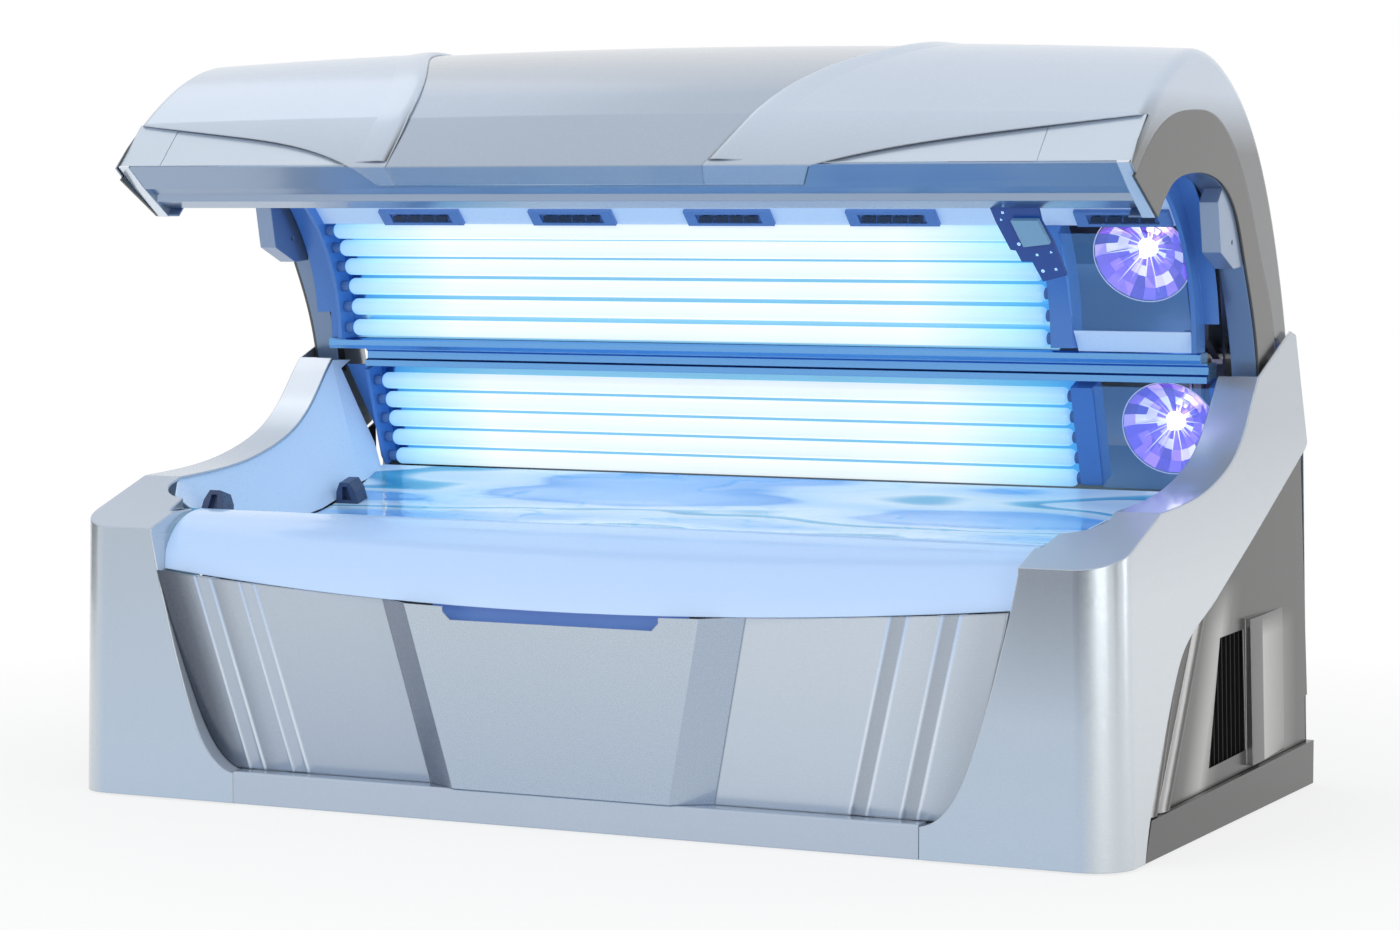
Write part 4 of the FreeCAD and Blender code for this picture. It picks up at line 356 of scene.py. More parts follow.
def clear_sheet(name, tint, alpha, rough=0.02, glow=None, strength=0.0):
    """Filter glass: clear, faintly tinted, with a little haze, and a glow that is painted light where one
    is given.
    """
    shader = Shader(name)
    haze = shader.noise(24, 2.0)
    shader.put(Base_Color=tint, Alpha=alpha, IOR=1.49,
               Roughness=shader.spread(haze, 0.3, 0.7, rough, rough + 0.03),
               Specular_IOR_Level=0.7, Coat_Weight=0.6, Coat_Roughness=0.02)
    # The glass glows: painted light.
    if glow:
        shader.put(Emission_Color=glow, Emission_Strength=strength)
    shader.relief(haze, 0.03, 0.0003)
    return shader.material


def wavy_acrylic(name):
    """The bench sheet: glossy pale acrylic with low waves, and painted reflections: white, blue and teal
    bands in its colour, with a faint painted glow.
    """
    shader = Shader(name)
    warp = shader.noise(3.0, 1.4, (1.0, 2.6, 1.0))
    bands = shader.noise(2.1, 1.6, (0.5, 3.0, 1.0), 0.45)
    # Painted reflections: the bands of white, blue and teal.
    colour = shader.ramp(bands, [
        (0.0, (0.12, 0.38, 0.86)), (0.36, (0.26, 0.56, 1.0)), (0.41, (0.62, 0.83, 1.0)),
        (0.450, (0.70, 0.88, 1.0)), (0.458, (0.04, 0.34, 0.62)), (0.480, (0.12, 0.50, 0.78)),
        (0.495, (0.74, 0.90, 1.0)), (0.55, (0.50, 0.76, 1.0)), (0.57, (0.12, 0.42, 0.90)),
        (0.64, (0.30, 0.60, 1.0)), (1.0, (0.52, 0.76, 1.0))])
    # The same painted reflections also glow faintly.
    shader.put(Base_Color=colour, Alpha=0.86, IOR=1.49, Roughness=shader.spread(warp, 0.3, 0.7, 0.02, 0.05),
               Specular_IOR_Level=0.7, Coat_Weight=0.8, Coat_Roughness=0.02,
               Emission_Color=colour, Emission_Strength=0.14)
    shader.relief(warp, 1.0, 0.03)
    return shader.material


def diffuser(name):
    """The lit front apron: opal acrylic, brighter at its lower edge and at its middle."""
    shader = Shader(name)
    height = shader.spread(shader.axis("z"), 0.44, 0.61, 0.0, 1.0)
    colour = shader.ramp(height, [(0.0, (0.62, 0.78, 1.0)), (0.35, (0.50, 0.70, 1.0)),
                                  (0.8, (0.42, 0.62, 0.98)), (1.0, (0.52, 0.72, 1.0))])
    fine = shader.noise(300, 2.0)
    shader.put(Base_Color=(0.46, 0.63, 0.90), Roughness=shader.spread(fine, 0.3, 0.7, 0.2, 0.28),
               Emission_Color=colour, Emission_Strength=0.26, Coat_Weight=0.5, Coat_Roughness=0.08)
    shader.relief(fine, 0.03, 0.0003, 0.003)
    return shader.material


def faceted_reflector(name):
    """The violet dichroic reflector, each facet with its own colour, with painted glints and a painted
    glow, brightest in the middle.
    """
    shader = Shader(name)
    tone = shader.add("ShaderNodeAttribute", attribute_name="facet")
    glint_mask = shader.add("ShaderNodeAttribute", attribute_name="heat")
    colour = shader.ramp(tone.outputs["Fac"], [
        (0.0, (0.07, 0.06, 0.30)), (0.25, (0.13, 0.08, 0.46)), (0.5, (0.22, 0.12, 0.66)),
        (0.72, (0.42, 0.25, 0.82)), (0.88, (0.72, 0.60, 0.98)), (1.0, (1.0, 0.98, 1.0))])
    # Painted glints turn white; the whole bowl glows as painted light.
    glow = shader.mix(glint_mask.outputs["Fac"], colour, (1.0, 0.97, 1.0))
    shader.put(Base_Color=colour, Metallic=0.6, Roughness=0.12, Emission_Color=glow,
               Emission_Strength=shader.spread(glint_mask.outputs["Fac"], 0.0, 1.0, 0.55, 1.6))
    return shader.material


def keypad_foil(name):
    """Dark blue foil on the keypad plate, and a steel-blue cover standing proud of it."""
    shader = Shader(name)
    fine = shader.noise(400, 2.0)
    corner, ahead = keypad_face()
    dot = shader.add("ShaderNodeVectorMath", operation="DOT_PRODUCT")
    shader.link(shader.place, dot.inputs[0])
    dot.inputs[1].default_value = ahead
    front = corner.dot(ahead)
    proud = shader.spread(dot.outputs["Value"], front + 0.2 * MM, front + 0.4 * MM, 0.0, 1.0)
    shader.put(Base_Color=shader.mix(proud, (0.010, 0.075, 0.36), (0.20, 0.42, 0.66)),
               Roughness=shader.spread(fine, 0.3, 0.7, 0.18, 0.26))
    shader.relief(fine, 0.03, 0.0003, 0.001)
    return shader.material


def mesh_grille(name):
    """Black woven mesh."""
    shader = Shader(name)
    grid = shader.add("ShaderNodeTexChecker")
    grid.inputs["Scale"].default_value = 700
    shader.link(shader.place, grid.inputs["Vector"])
    base = shader.mix(grid.outputs["Fac"], (0.008, 0.008, 0.009), (0.016, 0.016, 0.017))
    shader.put(Base_Color=base, Roughness=0.6, Specular_IOR_Level=0.12)
    shader.relief(grid.outputs["Fac"], 0.3, 0.0006)
    return shader.material


def make_materials():
    """One material for each finish on the bed."""
    silver = (0.47, 0.53, 0.60)
    return {
        # Silver: a bluer foot, a pale top band, blue-grey tops, lighter lower sides and a darker head-end
        # pillar top, all painted light and shade.
        "silver": metallic_paint("silver_paint", silver, low=(0.49, 0.60, 0.74),
                                 high=(0.84, 0.90, 0.98), top=(0.51, 0.59, 0.71),
                                 side=(0.64, 0.69, 0.73), side_high=(0.44, 0.49, 0.54),
                                 side_fade=(0.50, 0.80),
                                 pillar_top_shade=(0.24, 0.28, 0.34)),
        # Wings: a darker foot, painted shade; the end walls are painted dark below a height.
        "canopy": metallic_paint("wing_paint", (0.56, 0.64, 0.77), round_edge=0.006,
                                 low=(0.42, 0.48, 0.58), fade=(1.30, 1.44),
                                 side=(0.06, 0.06, 0.06), side_fade=(1.36, 1.48)),
        # Skin: a darker foot, painted shade, and a lighter crown, painted light.
        "skin": metallic_paint("skin_paint", (0.40, 0.47, 0.57), round_edge=0.006,
                               low=(0.37, 0.44, 0.54), fade=(1.32, 1.44),
                               high=(0.56, 0.59, 0.63), high_fade=(1.48, 1.565)),
        "brow": metallic_paint("brow_paint", (0.60, 0.68, 0.80), rough=0.3, round_edge=0.003),
        # Front panels: a darker foot and the stripes, painted shade and painted highlights.
        "front": metallic_paint("front_paint", (0.50, 0.57, 0.66), round_edge=0.006,
                                low=(0.40, 0.48, 0.60), fade=(0.08, 0.40), stripe_shade=True),
        "plinth": metallic_paint("plinth_paint", (0.49, 0.58, 0.71), round_edge=0.005),
        # Door: a darker foot and darker sides, painted shade; the sides that look to +X are painted
        # lighter.
        "door": metallic_paint("door_paint", (0.52, 0.60, 0.69), rough=0.26, round_edge=0.004,
                               low=(0.42, 0.51, 0.64), side=(0.20, 0.24, 0.32),
                               side_plus=(0.38, 0.46, 0.58), fade=(0.08, 0.40)),
        # Side panels: painted highlights on faces towards the user and in the sweeps.
        "bronze": metallic_paint("bronze_paint", (0.085, 0.084, 0.082), metallic=0.85,
                                 round_edge=0.003, coat=0.0, front=(0.42, 0.42, 0.42), painted_sweeps=True),
        "kick": metallic_paint("kick_paint", (0.080, 0.079, 0.077), metallic=0.85,
                               round_edge=0.003, coat=0.0),
        "arch": metallic_paint("arch_paint", (0.12, 0.118, 0.116), metallic=0.8, rough=0.28,
                               coat=0.15),
        "soffit": metallic_paint("soffit_paint", (0.20, 0.29, 0.45), metallic=0.5, rough=0.3),
        # The frames' glow is painted light.
        "blue": moulded_plastic("blue_frame", (0.085, 0.23, 0.58), rough=0.3, grain=900,
                                metallic=0.2, glow=(0.06, 0.20, 0.66), strength=0.12),
        "rail": brushed_metal("blue_rail", (0.17, 0.42, 0.82), rough=0.24),
        "reflector": brushed_metal("reflector_sheet", (0.34, 0.70, 0.94), rough=0.16),
        # The liners' glow is painted light.
        "liner": moulded_plastic("lit_liner", (0.66, 0.81, 1.0), rough=0.3,
                                 glow=(0.40, 0.60, 0.95), strength=0.20),
        "lamp": lamp_glass("lit_tube", 0.80),
        "bench_lamp": lamp_glass("bench_tube", 0.60),
        "socket": moulded_plastic("socket_plastic", (0.10, 0.22, 0.50), rough=0.4),
        "acrylic": wavy_acrylic("bench_acrylic"),
        # The filter glass's glow is painted light.
        "filter": clear_sheet("filter_glass", (0.20, 0.42, 0.80), 0.14, rough=0.01,
                              glow=(0.10, 0.34, 0.85), strength=0.50),
        "diffuser": diffuser("lit_diffuser"),
        "facets": faceted_reflector("violet_facets"),
        "burner": moulded_plastic("burner_glass", (0.95, 0.9, 1.0), rough=0.1, glow=(0.95, 0.9, 1.0),
                                  strength=2.5),
        # The bowl rims' glow is a painted highlight.
        "rim": moulded_plastic("bowl_rim", (0.80, 0.80, 0.95), rough=0.2, glow=(0.75, 0.75, 1.0),
                               strength=0.35),
        "nozzle": moulded_plastic("nozzle_plastic", (0.045, 0.075, 0.17), rough=0.3, metallic=0.1),
        "vent": moulded_plastic("vent_plastic", (0.13, 0.28, 0.66), rough=0.3),
        # Painted shade for the vents' openings.
        "slot": moulded_plastic("vent_slots", (0.006, 0.012, 0.05), rough=0.2),
        "foil": keypad_foil("keypad_foil"),
        "icons": moulded_plastic("keypad_lights", (0.5, 0.8, 1.0), rough=0.4, glow=(0.40, 0.75, 1.0),
                                 strength=0.8),
        # The grip recess's glow is painted light.
        "notch": moulded_plastic("grip_recess", (0.16, 0.30, 0.68), rough=0.35,
                                 glow=(0.16, 0.30, 0.75), strength=0.15),
        "mesh": mesh_grille("black_mesh"),
        "lip": metallic_paint("lip_paint", (0.30, 0.39, 0.53), metallic=0.85, rough=0.22,
                              round_edge=0.002),
        "handle": metallic_paint("lug_paint", (0.27, 0.37, 0.55), metallic=0.4, rough=0.3),
        "steel": metallic_paint("frame_paint", (0.12, 0.13, 0.14), metallic=0.3, rough=0.45,
                                round_edge=0.002),
        "sheet": brushed_metal("grey_sheet", (0.36, 0.38, 0.40), rough=0.4, along="z"),
        "zinc": brushed_metal("zinc_sheet", (0.52, 0.54, 0.56), rough=0.36),
        "rubber": moulded_plastic("foot_rubber", (0.02, 0.02, 0.02), rough=0.7),
        "black": moulded_plastic("cylinder_black", (0.015, 0.015, 0.017), rough=0.3),
        "chrome": brushed_metal("rod_chrome", (0.75, 0.75, 0.77), rough=0.1),
    }


FINISHES = {
    "silver": ["end_shell_left", "end_shell_right"],
    "canopy": ["canopy_wing_left", "canopy_wing_right"],
    "skin": ["canopy_centre_skin"],
    "brow": ["brow_panel_left", "brow_panel_right", "brow_end_caps"],
    "front": ["front_panel_left", "front_panel_right"],
    "plinth": ["front_plinth"],
    "door": ["centre_front_panel"],
    "bronze": ["side_panel_left", "side_panel_right"],
    "kick": ["side_plinths"],
    "arch": ["end_arch_left", "end_arch_right"],
    "soffit": ["arch_soffits"],
    "blue": ["base_end_frames", "base_post", "canopy_end_frames", "canopy_post"],
    "rail": ["base_top_rail", "canopy_rail"],
    "reflector": ["bench_tray", "rear_wall_reflector", "canopy_reflector"],
    "liner": ["end_liners", "vent_strip"],
    "lamp": ["canopy_lamps", "rear_wall_lamps"],
    "bench_lamp": ["bench_lamps"],
    "socket": ["base_lamp_holders", "canopy_lamp_holders"],
    "acrylic": ["bench_acrylic"],
    "filter": ["lower_face_glass", "upper_face_glass"],
    "diffuser": ["front_apron"],
    "facets": ["lower_face_reflector", "upper_face_reflector"],
    "burner": ["lower_face_lamp", "upper_face_lamp"],
    "nozzle": ["bench_nozzles"],
    "vent": ["air_vents"],
    "foil": ["control_panel"],
    "mesh": ["intake_grilles"],
    "lip": ["lip_profile"],
    "handle": ["grab_handles"],
    "steel": ["base_frame", "hinge_brackets", "canopy_frame"],
    "sheet": ["rear_cover", "ballasts"],
    "zinc": ["blower_housing", "blower_wheel", "canopy_fan_housing", "canopy_fan_wheel"],
    "rubber": ["levelling_feet"],
    "black": ["gas_spring_cylinders"],
    "chrome": ["gas_spring_rods"],
}


def dress_frame(materials):
    """Every CAD node gets its finish."""
    for finish, names in FINISHES.items():
        for name in names:
            slots = nodes[name].data.materials
            slots.clear()
            slots.append(materials[finish])


# ---------------- mesh helpers
def place_mesh(name, mesh, material):
    """Links a finished mesh as an object with one material."""
    data = bpy.data.meshes.new(name)
    mesh.to_mesh(data)
    mesh.free()
    data.materials.append(material)
    placed = bpy.data.objects.new(name, data)
    bpy.context.collection.objects.link(placed)
    return placed


def new_piece(name, mesh, material, body, smooth=None):
    """A finished mesh as a piece that rides on a body."""
    piece = place_mesh(name, mesh, material)
    if smooth is not None:
        for face in piece.data.polygons:
            face.use_smooth = True
        piece.data.set_sharp_from_angle(angle=math.radians(smooth))
    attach(piece, body)
    return piece


def islands(name):
    """The separate solids of a CAD node, each as a list of its vertex places."""
    mesh = bmesh.new()
    mesh.from_mesh(nodes[name].data)
    bmesh.ops.remove_doubles(mesh, verts=mesh.verts, dist=0.00001)
    found = []
    seen = set()
    for start in mesh.verts:
        if start.index in seen:
            continue
        seen.add(start.index)
        group = []
        queue = [start]
        while queue:
            vert = queue.pop()
            group.append(vert.co.copy())
            for edge in vert.link_edges:
                other = edge.other_vert(vert)
                if other.index not in seen:
                    seen.add(other.index)
                    queue.append(other)
        found.append(group)
    mesh.free()
    return found


def corners(points):
    """The lowest and highest corner of some places."""
    low = Vector([min(point[i] for point in points) for i in range(3)])
    high = Vector([max(point[i] for point in points) for i in range(3)])
    return low, high


def lathe(mesh, profile, origin, axis, steps, capped=True):
    """Adds a turned surface: profile is (distance along the axis, radius)."""
    axis = Vector(axis).normalized()
    side = axis.orthogonal().normalized()
    up = axis.cross(side)
    rings = []
    for along, radius in profile:
        ring = []
        for i in range(steps):
            turn = 2 * math.pi * i / steps
            out = side * math.cos(turn) + up * math.sin(turn)
            ring.append(mesh.verts.new(Vector(origin) + axis * along + out * radius))
        rings.append(ring)
    for first, second in zip(rings, rings[1:]):
        for i in range(steps):
            mesh.faces.new((first[i], first[(i + 1) % steps], second[(i + 1) % steps], second[i]))
    if capped:
        mesh.faces.new(list(reversed(rings[0])))
        mesh.faces.new(rings[-1])


# ---------------- lamps
def tube_profile(length, radius):
    """Half section of a fluorescent tube: domed ends on a straight glass."""
    dome = 14 * MM
    steps = 6
    left = []
    for i in range(steps + 1):
        turn = math.pi / 2 * i / steps
        left.append((dome * (1 - math.cos(turn)), radius * (0.25 + 0.75 * math.sin(turn))))
    right = [(length - along, r) for along, r in reversed(left)]
    return left + right


def make_tubes(name, node, body, material):
    """Lit tubes with domed ends, in the places of the CAD node's solids."""
    mesh = bmesh.new()
    for points in islands(node):
        low, high = corners(points)
        middle = (low + high) / 2
        radius = (high.z - low.z) / 2
        lathe(mesh, tube_profile(high.x - low.x, radius), (low.x, middle.y, middle.z), (1, 0, 0), 20)
    piece = new_piece(name, mesh, material, body, smooth=50)
    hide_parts(node)


def make_sockets(name, node, body, material):
    """Lamp sockets: a rounded block with a raised collar round the tube's end."""
    mesh = bmesh.new()
    for points in islands(node):
        low, high = corners(points)
        middle = (low + high) / 2
        size = high - low
        block = bmesh.ops.create_cube(mesh, size=1, matrix=Matrix.Translation(middle)
                                      @ Matrix.Diagonal((size.x * 0.8, size.y * 0.7, size.z * 0.7, 1)))
        edges = {edge for vert in block["verts"] for edge in vert.link_edges}
        bmesh.ops.bevel(mesh, geom=list(edges), offset=2.5 * MM, segments=3, profile=0.6,
                        affect="EDGES")
        collar = size.z * 0.42
        lathe(mesh, [(0.0, collar * 0.85), (0.001, collar), (size.x - 0.001, collar),
                     (size.x, collar * 0.85)], (low.x, middle.y, middle.z), (1, 0, 0), 20)
    piece = new_piece(name, mesh, material, body, smooth=40)
    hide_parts(node)


# ---------------- facial reflectors
def bowl_frame(node):
    """The rim's centre and the axis of a CAD bowl, from its own mesh."""
    points = [vert.co for vert in nodes[node].data.vertices]
    low, high = corners(points)
    rim = [point for point in points if point.x < low.x + 2 * MM or point.x > high.x - 2 * MM]
    centre = sum(rim, Vector()) / len(rim)
    centre.x = (low.x + high.x) / 2
    mean = sum(points, Vector()) / len(points)
    mean.x = centre.x
    return centre, (mean - centre).normalized(), (high.x - low.x) / 2


def make_facets(name, node, body, materials):
    """A bowl of flat mirror facets in rings and wedges, with a star of painted glints round the lamp."""
    centre, axis, radius = bowl_frame(node)
    side = Vector((1, 0, 0))
    up = axis.cross(side).normalized()
    rng = random.Random(len(node))
    wedges = 22
    rings = [(0.985, 0.04), (0.80, 0.46), (0.60, 0.74), (0.40, 0.91), (0.22, 1.0)]
    depth = 42 * MM
    mesh = bmesh.new()
    tones = mesh.faces.layers.float.new("facet")
    glint_layer = mesh.faces.layers.float.new("heat")

    def spot(share, deep, wedge, shift=0.0):
        turn = 2 * math.pi * wedge / wedges
        out = side * math.cos(turn) + up * math.sin(turn)
        return centre + out * (radius * share) + axis * (depth * deep + shift)

    def facet(places, tone, heat):
        face = mesh.faces.new([mesh.verts.new(place) for place in places])
        face[tones] = tone
        face[glint_layer] = heat

    for wedge in range(wedges):
        wedge_tone = (0.30, 0.55, 0.38, 0.66)[wedge % 4] + rng.uniform(-0.10, 0.10)
        for ring, (outer, inner) in enumerate(zip(rings, rings[1:])):
            lean = [rng.uniform(-1.6, 1.6) * MM for _ in range(4)]
            near = ring / (len(rings) - 2)
            # Facets nearer the lamp are painted lighter, and some are painted white glints.
            tone = min(0.9, max(0.0, wedge_tone + rng.uniform(-0.16, 0.16) + 0.12 * near))
            heat = 0.10 * near
            if rng.random() < 0.05 + 0.16 * near:
                tone, heat = rng.uniform(0.86, 1.0), 0.5
            facet([spot(*outer, wedge, lean[0]), spot(*outer, wedge + 1, lean[1]),
                   spot(*inner, wedge + 1, lean[2]), spot(*inner, wedge, lean[3])], tone, heat)
    # Painted glints: bright triangles in a star round the lamp.
    for glint in range(18):
        at = glint * wedges / 18 + rng.uniform(-0.3, 0.3)
        reach = rng.choice((0.45, 0.60, 0.75, 0.9))
        wide = rng.uniform(0.10, 0.30)
        deep = 1.0 - reach ** 2 * 0.9
        facet([spot(0.16, 0.94, at - wide * 2), spot(reach, deep, at, -3 * MM),
               spot(0.16, 0.94, at + wide * 2)], 1.0, 1.0)
    piece = new_piece(name, mesh, materials["facets"], body)
    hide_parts(node)
    rim = bmesh.new()
    lathe(rim, [(0.0, radius - 0.6 * MM), (-1.4 * MM, radius + 0.4 * MM), (0.0, radius + 1.6 * MM)],
          centre, axis, 64, capped=False)
    new_piece(name + "_rim", rim, materials["rim"], body, smooth=50)


# ---------------- trim and small pieces
def biggest_face(name):
    """The normal of a CAD node's largest flat side that looks towards the user."""
    areas = {}
    for face in nodes[name].data.polygons:
        if face.normal.y < -0.3:
            key = tuple(round(part, 2) for part in face.normal)
            areas[key] = areas.get(key, 0.0) + face.area
    return Vector(max(areas, key=areas.get)).normalized()


def keypad_face():
    """The upper left corner of the keypad plate's front, and the way it looks."""
    ahead = biggest_face("control_panel")
    plate = max(islands("control_panel"), key=lambda points: corners(points)[1].z)
    front = max(point.dot(ahead) for point in plate)
    shown = [point for point in plate if point.dot(ahead) > front - 1 * MM]
    corner = min(shown, key=lambda point: point.x - point.z)
    return corner, ahead


# The keypad's lights, in millimetres to the right of and above the plate's upper left corner.
KEYS = [(16, -20), (30, -34), (24, -50), (52, -104), (86, -128), (116, -122), (92, -164), (120, -160)]
KEY_SIZE = 7
VENT_CELLS = 4
END_BLOCK = 26 * MM
# The front panels' skin, along the bed from the middle: its inner edge and where each flute starts.
SKIN_START = (540 * MM, 602 * MM)
GROOVE_SLANT = 0.149
FLUTE_SLANT = 0.26
FLUTE_STARTS = (616 * MM, 723 * MM)
FLUTE_SECTION = [(-9, 0.5), (-5, 1.6), (-2, 3.2), (1, 3.0), (4, 1.2), (9, 0.3), (25, 0.3), (30, 1.2),
                 (33, 3.0), (36, 3.2), (39, 1.6), (43, 0.5)]
# A plain stretch of the panel gives the skin its lean; rays find the panel's outer edge.
PLAIN_ACROSS = 0.56
PLAIN_FOOT = 0.16
PLAIN_RISE = 0.19
EDGE_TOP = 0.475
EDGE_STEP = 0.40
EDGE_INSIDE = (0.74, 0.90)
EDGE_OUTSIDE = 0.98
# The middle of the canopy's tunnel (y, z), and the turns about it that a crest spans, in degrees.
HUB = (0.0, 1.10)
CREST_TURNS = (26.5, 194)
CREST_STEPS = 84
# A crest's section in millimetres: out from the wing's edge, and up from its skin.
CREST = [(-2, -5.4), (0, -2.4), (3, 0.6), (8, 2.8), (15, 4.0), (24, 4.4), (36, 3.8), (52, 2.4),
         (68, 1.0), (84, -0.4)]


def shell_piece(name, rows, material, body):
    """A closed shell over a grid of pairs: a place on its front and one on its back."""
    mesh = bmesh.new()
    rings = []
    for layer in (0, 1):
        grid = [[mesh.verts.new(pair[layer]) for pair in row] for row in rows]
        for near, far in zip(grid, grid[1:]):
            for i in range(len(near) - 1):
                mesh.faces.new((near[i], near[i + 1], far[i + 1], far[i]))
        rings.append(grid[0] + [row[-1] for row in grid[1:]] + grid[-1][-2::-1]
                     + [row[0] for row in grid[-2:0:-1]])
    for i in range(len(rings[0])):
        mesh.faces.new((rings[0][i - 1], rings[0][i], rings[1][i], rings[1][i - 1]))
    bmesh.ops.recalc_face_normals(mesh, faces=mesh.faces)
    new_piece(name, mesh, material, body, smooth=60)


def surface_tree(*names):
    """A search tree over the surfaces of some CAD nodes."""
    mesh = bmesh.new()
    for name in names:
        mesh.from_mesh(nodes[name].data)
    tree = BVHTree.FromBMesh(mesh)
    mesh.free()
    return tree


def last_hit(hit, miss, found, steps):
    """The place nearest to a miss that is still found, by halving."""
    for _ in range(steps):
        half = (hit + miss) / 2
        if found(half):
            hit = half
        else:
            miss = half
    return hit


def make_fluting(side, node, name, material):
    """The outer half of a front panel's skin, with its two narrow flutes and their raised rims."""
    tree = surface_tree(node)
    low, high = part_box(node)

    def spot(across, z):
        return tree.ray_cast(Vector((side * across, -1.0, z)), Vector((0, 1, 0)))[0]

    def edge(z):
        z = min(z, EDGE_TOP)
        inside = EDGE_INSIDE[0] if z < EDGE_STEP else EDGE_INSIDE[1]
        return last_hit(inside, EDGE_OUTSIDE, lambda across: spot(across, z) is not None, 14)

    def columns(rise):
        line = [(start + GROOVE_SLANT * rise, proud) for start, proud in zip(SKIN_START, (-0.3, 0.5))]
        for start in FLUTE_STARTS:
            line += [(start + FLUTE_SLANT * rise + across * MM, proud)
                     for across, proud in FLUTE_SECTION]
        end, last = line[-1][0], edge(low.z + rise)
        line += [(end + (last - end) * share, 0.5) for share in (0.4, 0.98)]
        return [(min(across, last - 0.1 * MM * (len(line) - j)), proud)
                for j, (across, proud) in enumerate(line)]

    foot, chest = [spot(PLAIN_ACROSS, z).y for z in (PLAIN_FOOT, PLAIN_FOOT + PLAIN_RISE)]
    tops = [last_hit(0.25, high.z - low.z + 5 * MM,
                     lambda rise: spot(columns(rise)[j][0], low.z + rise) is not None, 14)
            for j in range(len(columns(0.1)))]
    rows = []
    steps = 48
    for i in range(steps + 1):
        rows.append([])
        for j, top in enumerate(tops):
            rise = 1 * MM + (top - 1 * MM) * i / steps
            across, proud = columns(rise)[j]
            z = low.z + rise
            flat = foot + (chest - foot) * (z - PLAIN_FOOT) / PLAIN_RISE
            rows[-1].append((Vector((side * across, flat - proud * MM, z)),
                             Vector((side * across, flat - (proud - 1.2) * MM, z))))
    shell_piece(name, rows, material, "base")


def skin_spot(tree, x, turn):
    """Where the canopy's skin is seen from outside, at a turn about the tunnel from the front."""
    out = Vector((0, -math.cos(turn), math.sin(turn)))
    place, normal, _, _ = tree.ray_cast(Vector((x, *HUB)) + out * 1.2, -out)
    return place, normal


def make_crest(side, node, name, material):
    """The soft raised crest along a canopy wing's inner edge."""
    tree = surface_tree(node)
    first, last = [math.radians(turn) for turn in CREST_TURNS]
    middle = CREST_STEPS // 2
    turns = [first + (last - first) * i / CREST_STEPS for i in range(CREST_STEPS + 1)]
    edges = {}
    for order in (range(middle, -1, -1), range(middle + 1, CREST_STEPS + 1)):
        inside = side * 1.0
        for i in order:
            if skin_spot(tree, inside, turns[i])[0] is None:
                break
            edges[i] = last_hit(inside, side * -0.9,
                                lambda x: skin_spot(tree, x, turns[i])[0] is not None, 16)
            inside = edges[i] + side * 40 * MM
    rows = []
    for i in sorted(edges):
        row = []
        for across, proud in CREST:
            x = edges[i] + side * max(across, 0.6) * MM
            place, normal = skin_spot(tree, x, turns[i])
            if place is None:
                break
            if normal.dot(place - Vector((x, *HUB))) < 0:
                normal = -normal
            normal = Vector((0, normal.y, normal.z)).normalized()
            place = place + Vector((side * min(across, 0.0) * MM, 0, 0))
            row.append((place + normal * (proud * MM), place + normal * ((proud - 1.5) * MM)))
        if len(row) == len(CREST):
            rows.append(row)
    shell_piece(name, rows, material, "canopy")


def up_along(ahead):
    """The way up a leaning face, from the way it looks."""
    up = ahead.cross(Vector((-1, 0, 0))).normalized()
    if up.z < 0:
        up.negate()
    return up


def make_keys(material):
    """Lit touch fields on the keypad foil: small plain rings with round, square or three-cornered rims."""
    corner, ahead = keypad_face()
    up = up_along(ahead)
    mesh = bmesh.new()
    for index, (across, along) in enumerate(KEYS):
        middle = corner + Vector((across * MM, 0, 0)) + up * (along * MM) + ahead * (0.3 * MM)
        sides = (24, 4, 3)[index % 3]
        radius = KEY_SIZE * MM / 2
        ring = [(0.0, radius), (0.4 * MM, radius * 0.9), (0.4 * MM, radius * 0.5), (0.0, radius * 0.4)]
        lathe(mesh, ring, middle, ahead, sides, capped=False)
    new_piece("keypad_lights", mesh, material, "canopy", smooth=30)


def plane_piece(name, places, thickness, material, body):
    """A flat sheet with a polygon outline, thickened to its back, with softened edges."""
    mesh = bmesh.new()
    front = mesh.faces.new([mesh.verts.new(place) for place in places])
    front.normal_update()
    back = bmesh.ops.extrude_face_region(mesh, geom=[front])
    shift = front.normal * -thickness
    moved = [item for item in back["geom"] if isinstance(item, bmesh.types.BMVert)]
    bmesh.ops.translate(mesh, verts=moved, vec=shift)
    bmesh.ops.recalc_face_normals(mesh, faces=mesh.faces)
    bmesh.ops.bevel(mesh, geom=list(mesh.edges), offset=thickness * 0.2, segments=2, profile=0.6,
                    affect="EDGES")
    new_piece(name, mesh, material, body, smooth=35)


def make_vent_slots(material):
    """Dark sheets over each air vent's cells, painted shade for the openings, with its small upright vanes
    left between them.
    """
    mesh = bmesh.new()
    ahead = biggest_face("air_vents")
    up = up_along(ahead)
    for points in islands("air_vents"):
        front = max(point.dot(ahead) for point in points)
        low, high = corners([point for point in points if point.dot(ahead) > front - 1 * MM])
        middle = (low + high) / 2
        tall = (high.z - low.z) / up.z * 0.44
        wide = (high.x - low.x) * 0.70
        base = Vector((0, middle.y, middle.z)) + ahead * (0.5 * MM)
        for cell in range(VENT_CELLS):
            near = middle.x - wide / 2 + wide * cell / VENT_CELLS + 2 * MM
            far = near + wide / VENT_CELLS - 4 * MM
            mesh.faces.new([mesh.verts.new(base + Vector((across, 0, 0)) + up * (level * tall / 2))
                            for across, level in ((near + 3 * MM, 1), (near - 2 * MM, -1),
                                                  (far - 2 * MM, -1), (far + 3 * MM, 1))])
    new_piece("vent_slots", mesh, material, "canopy")


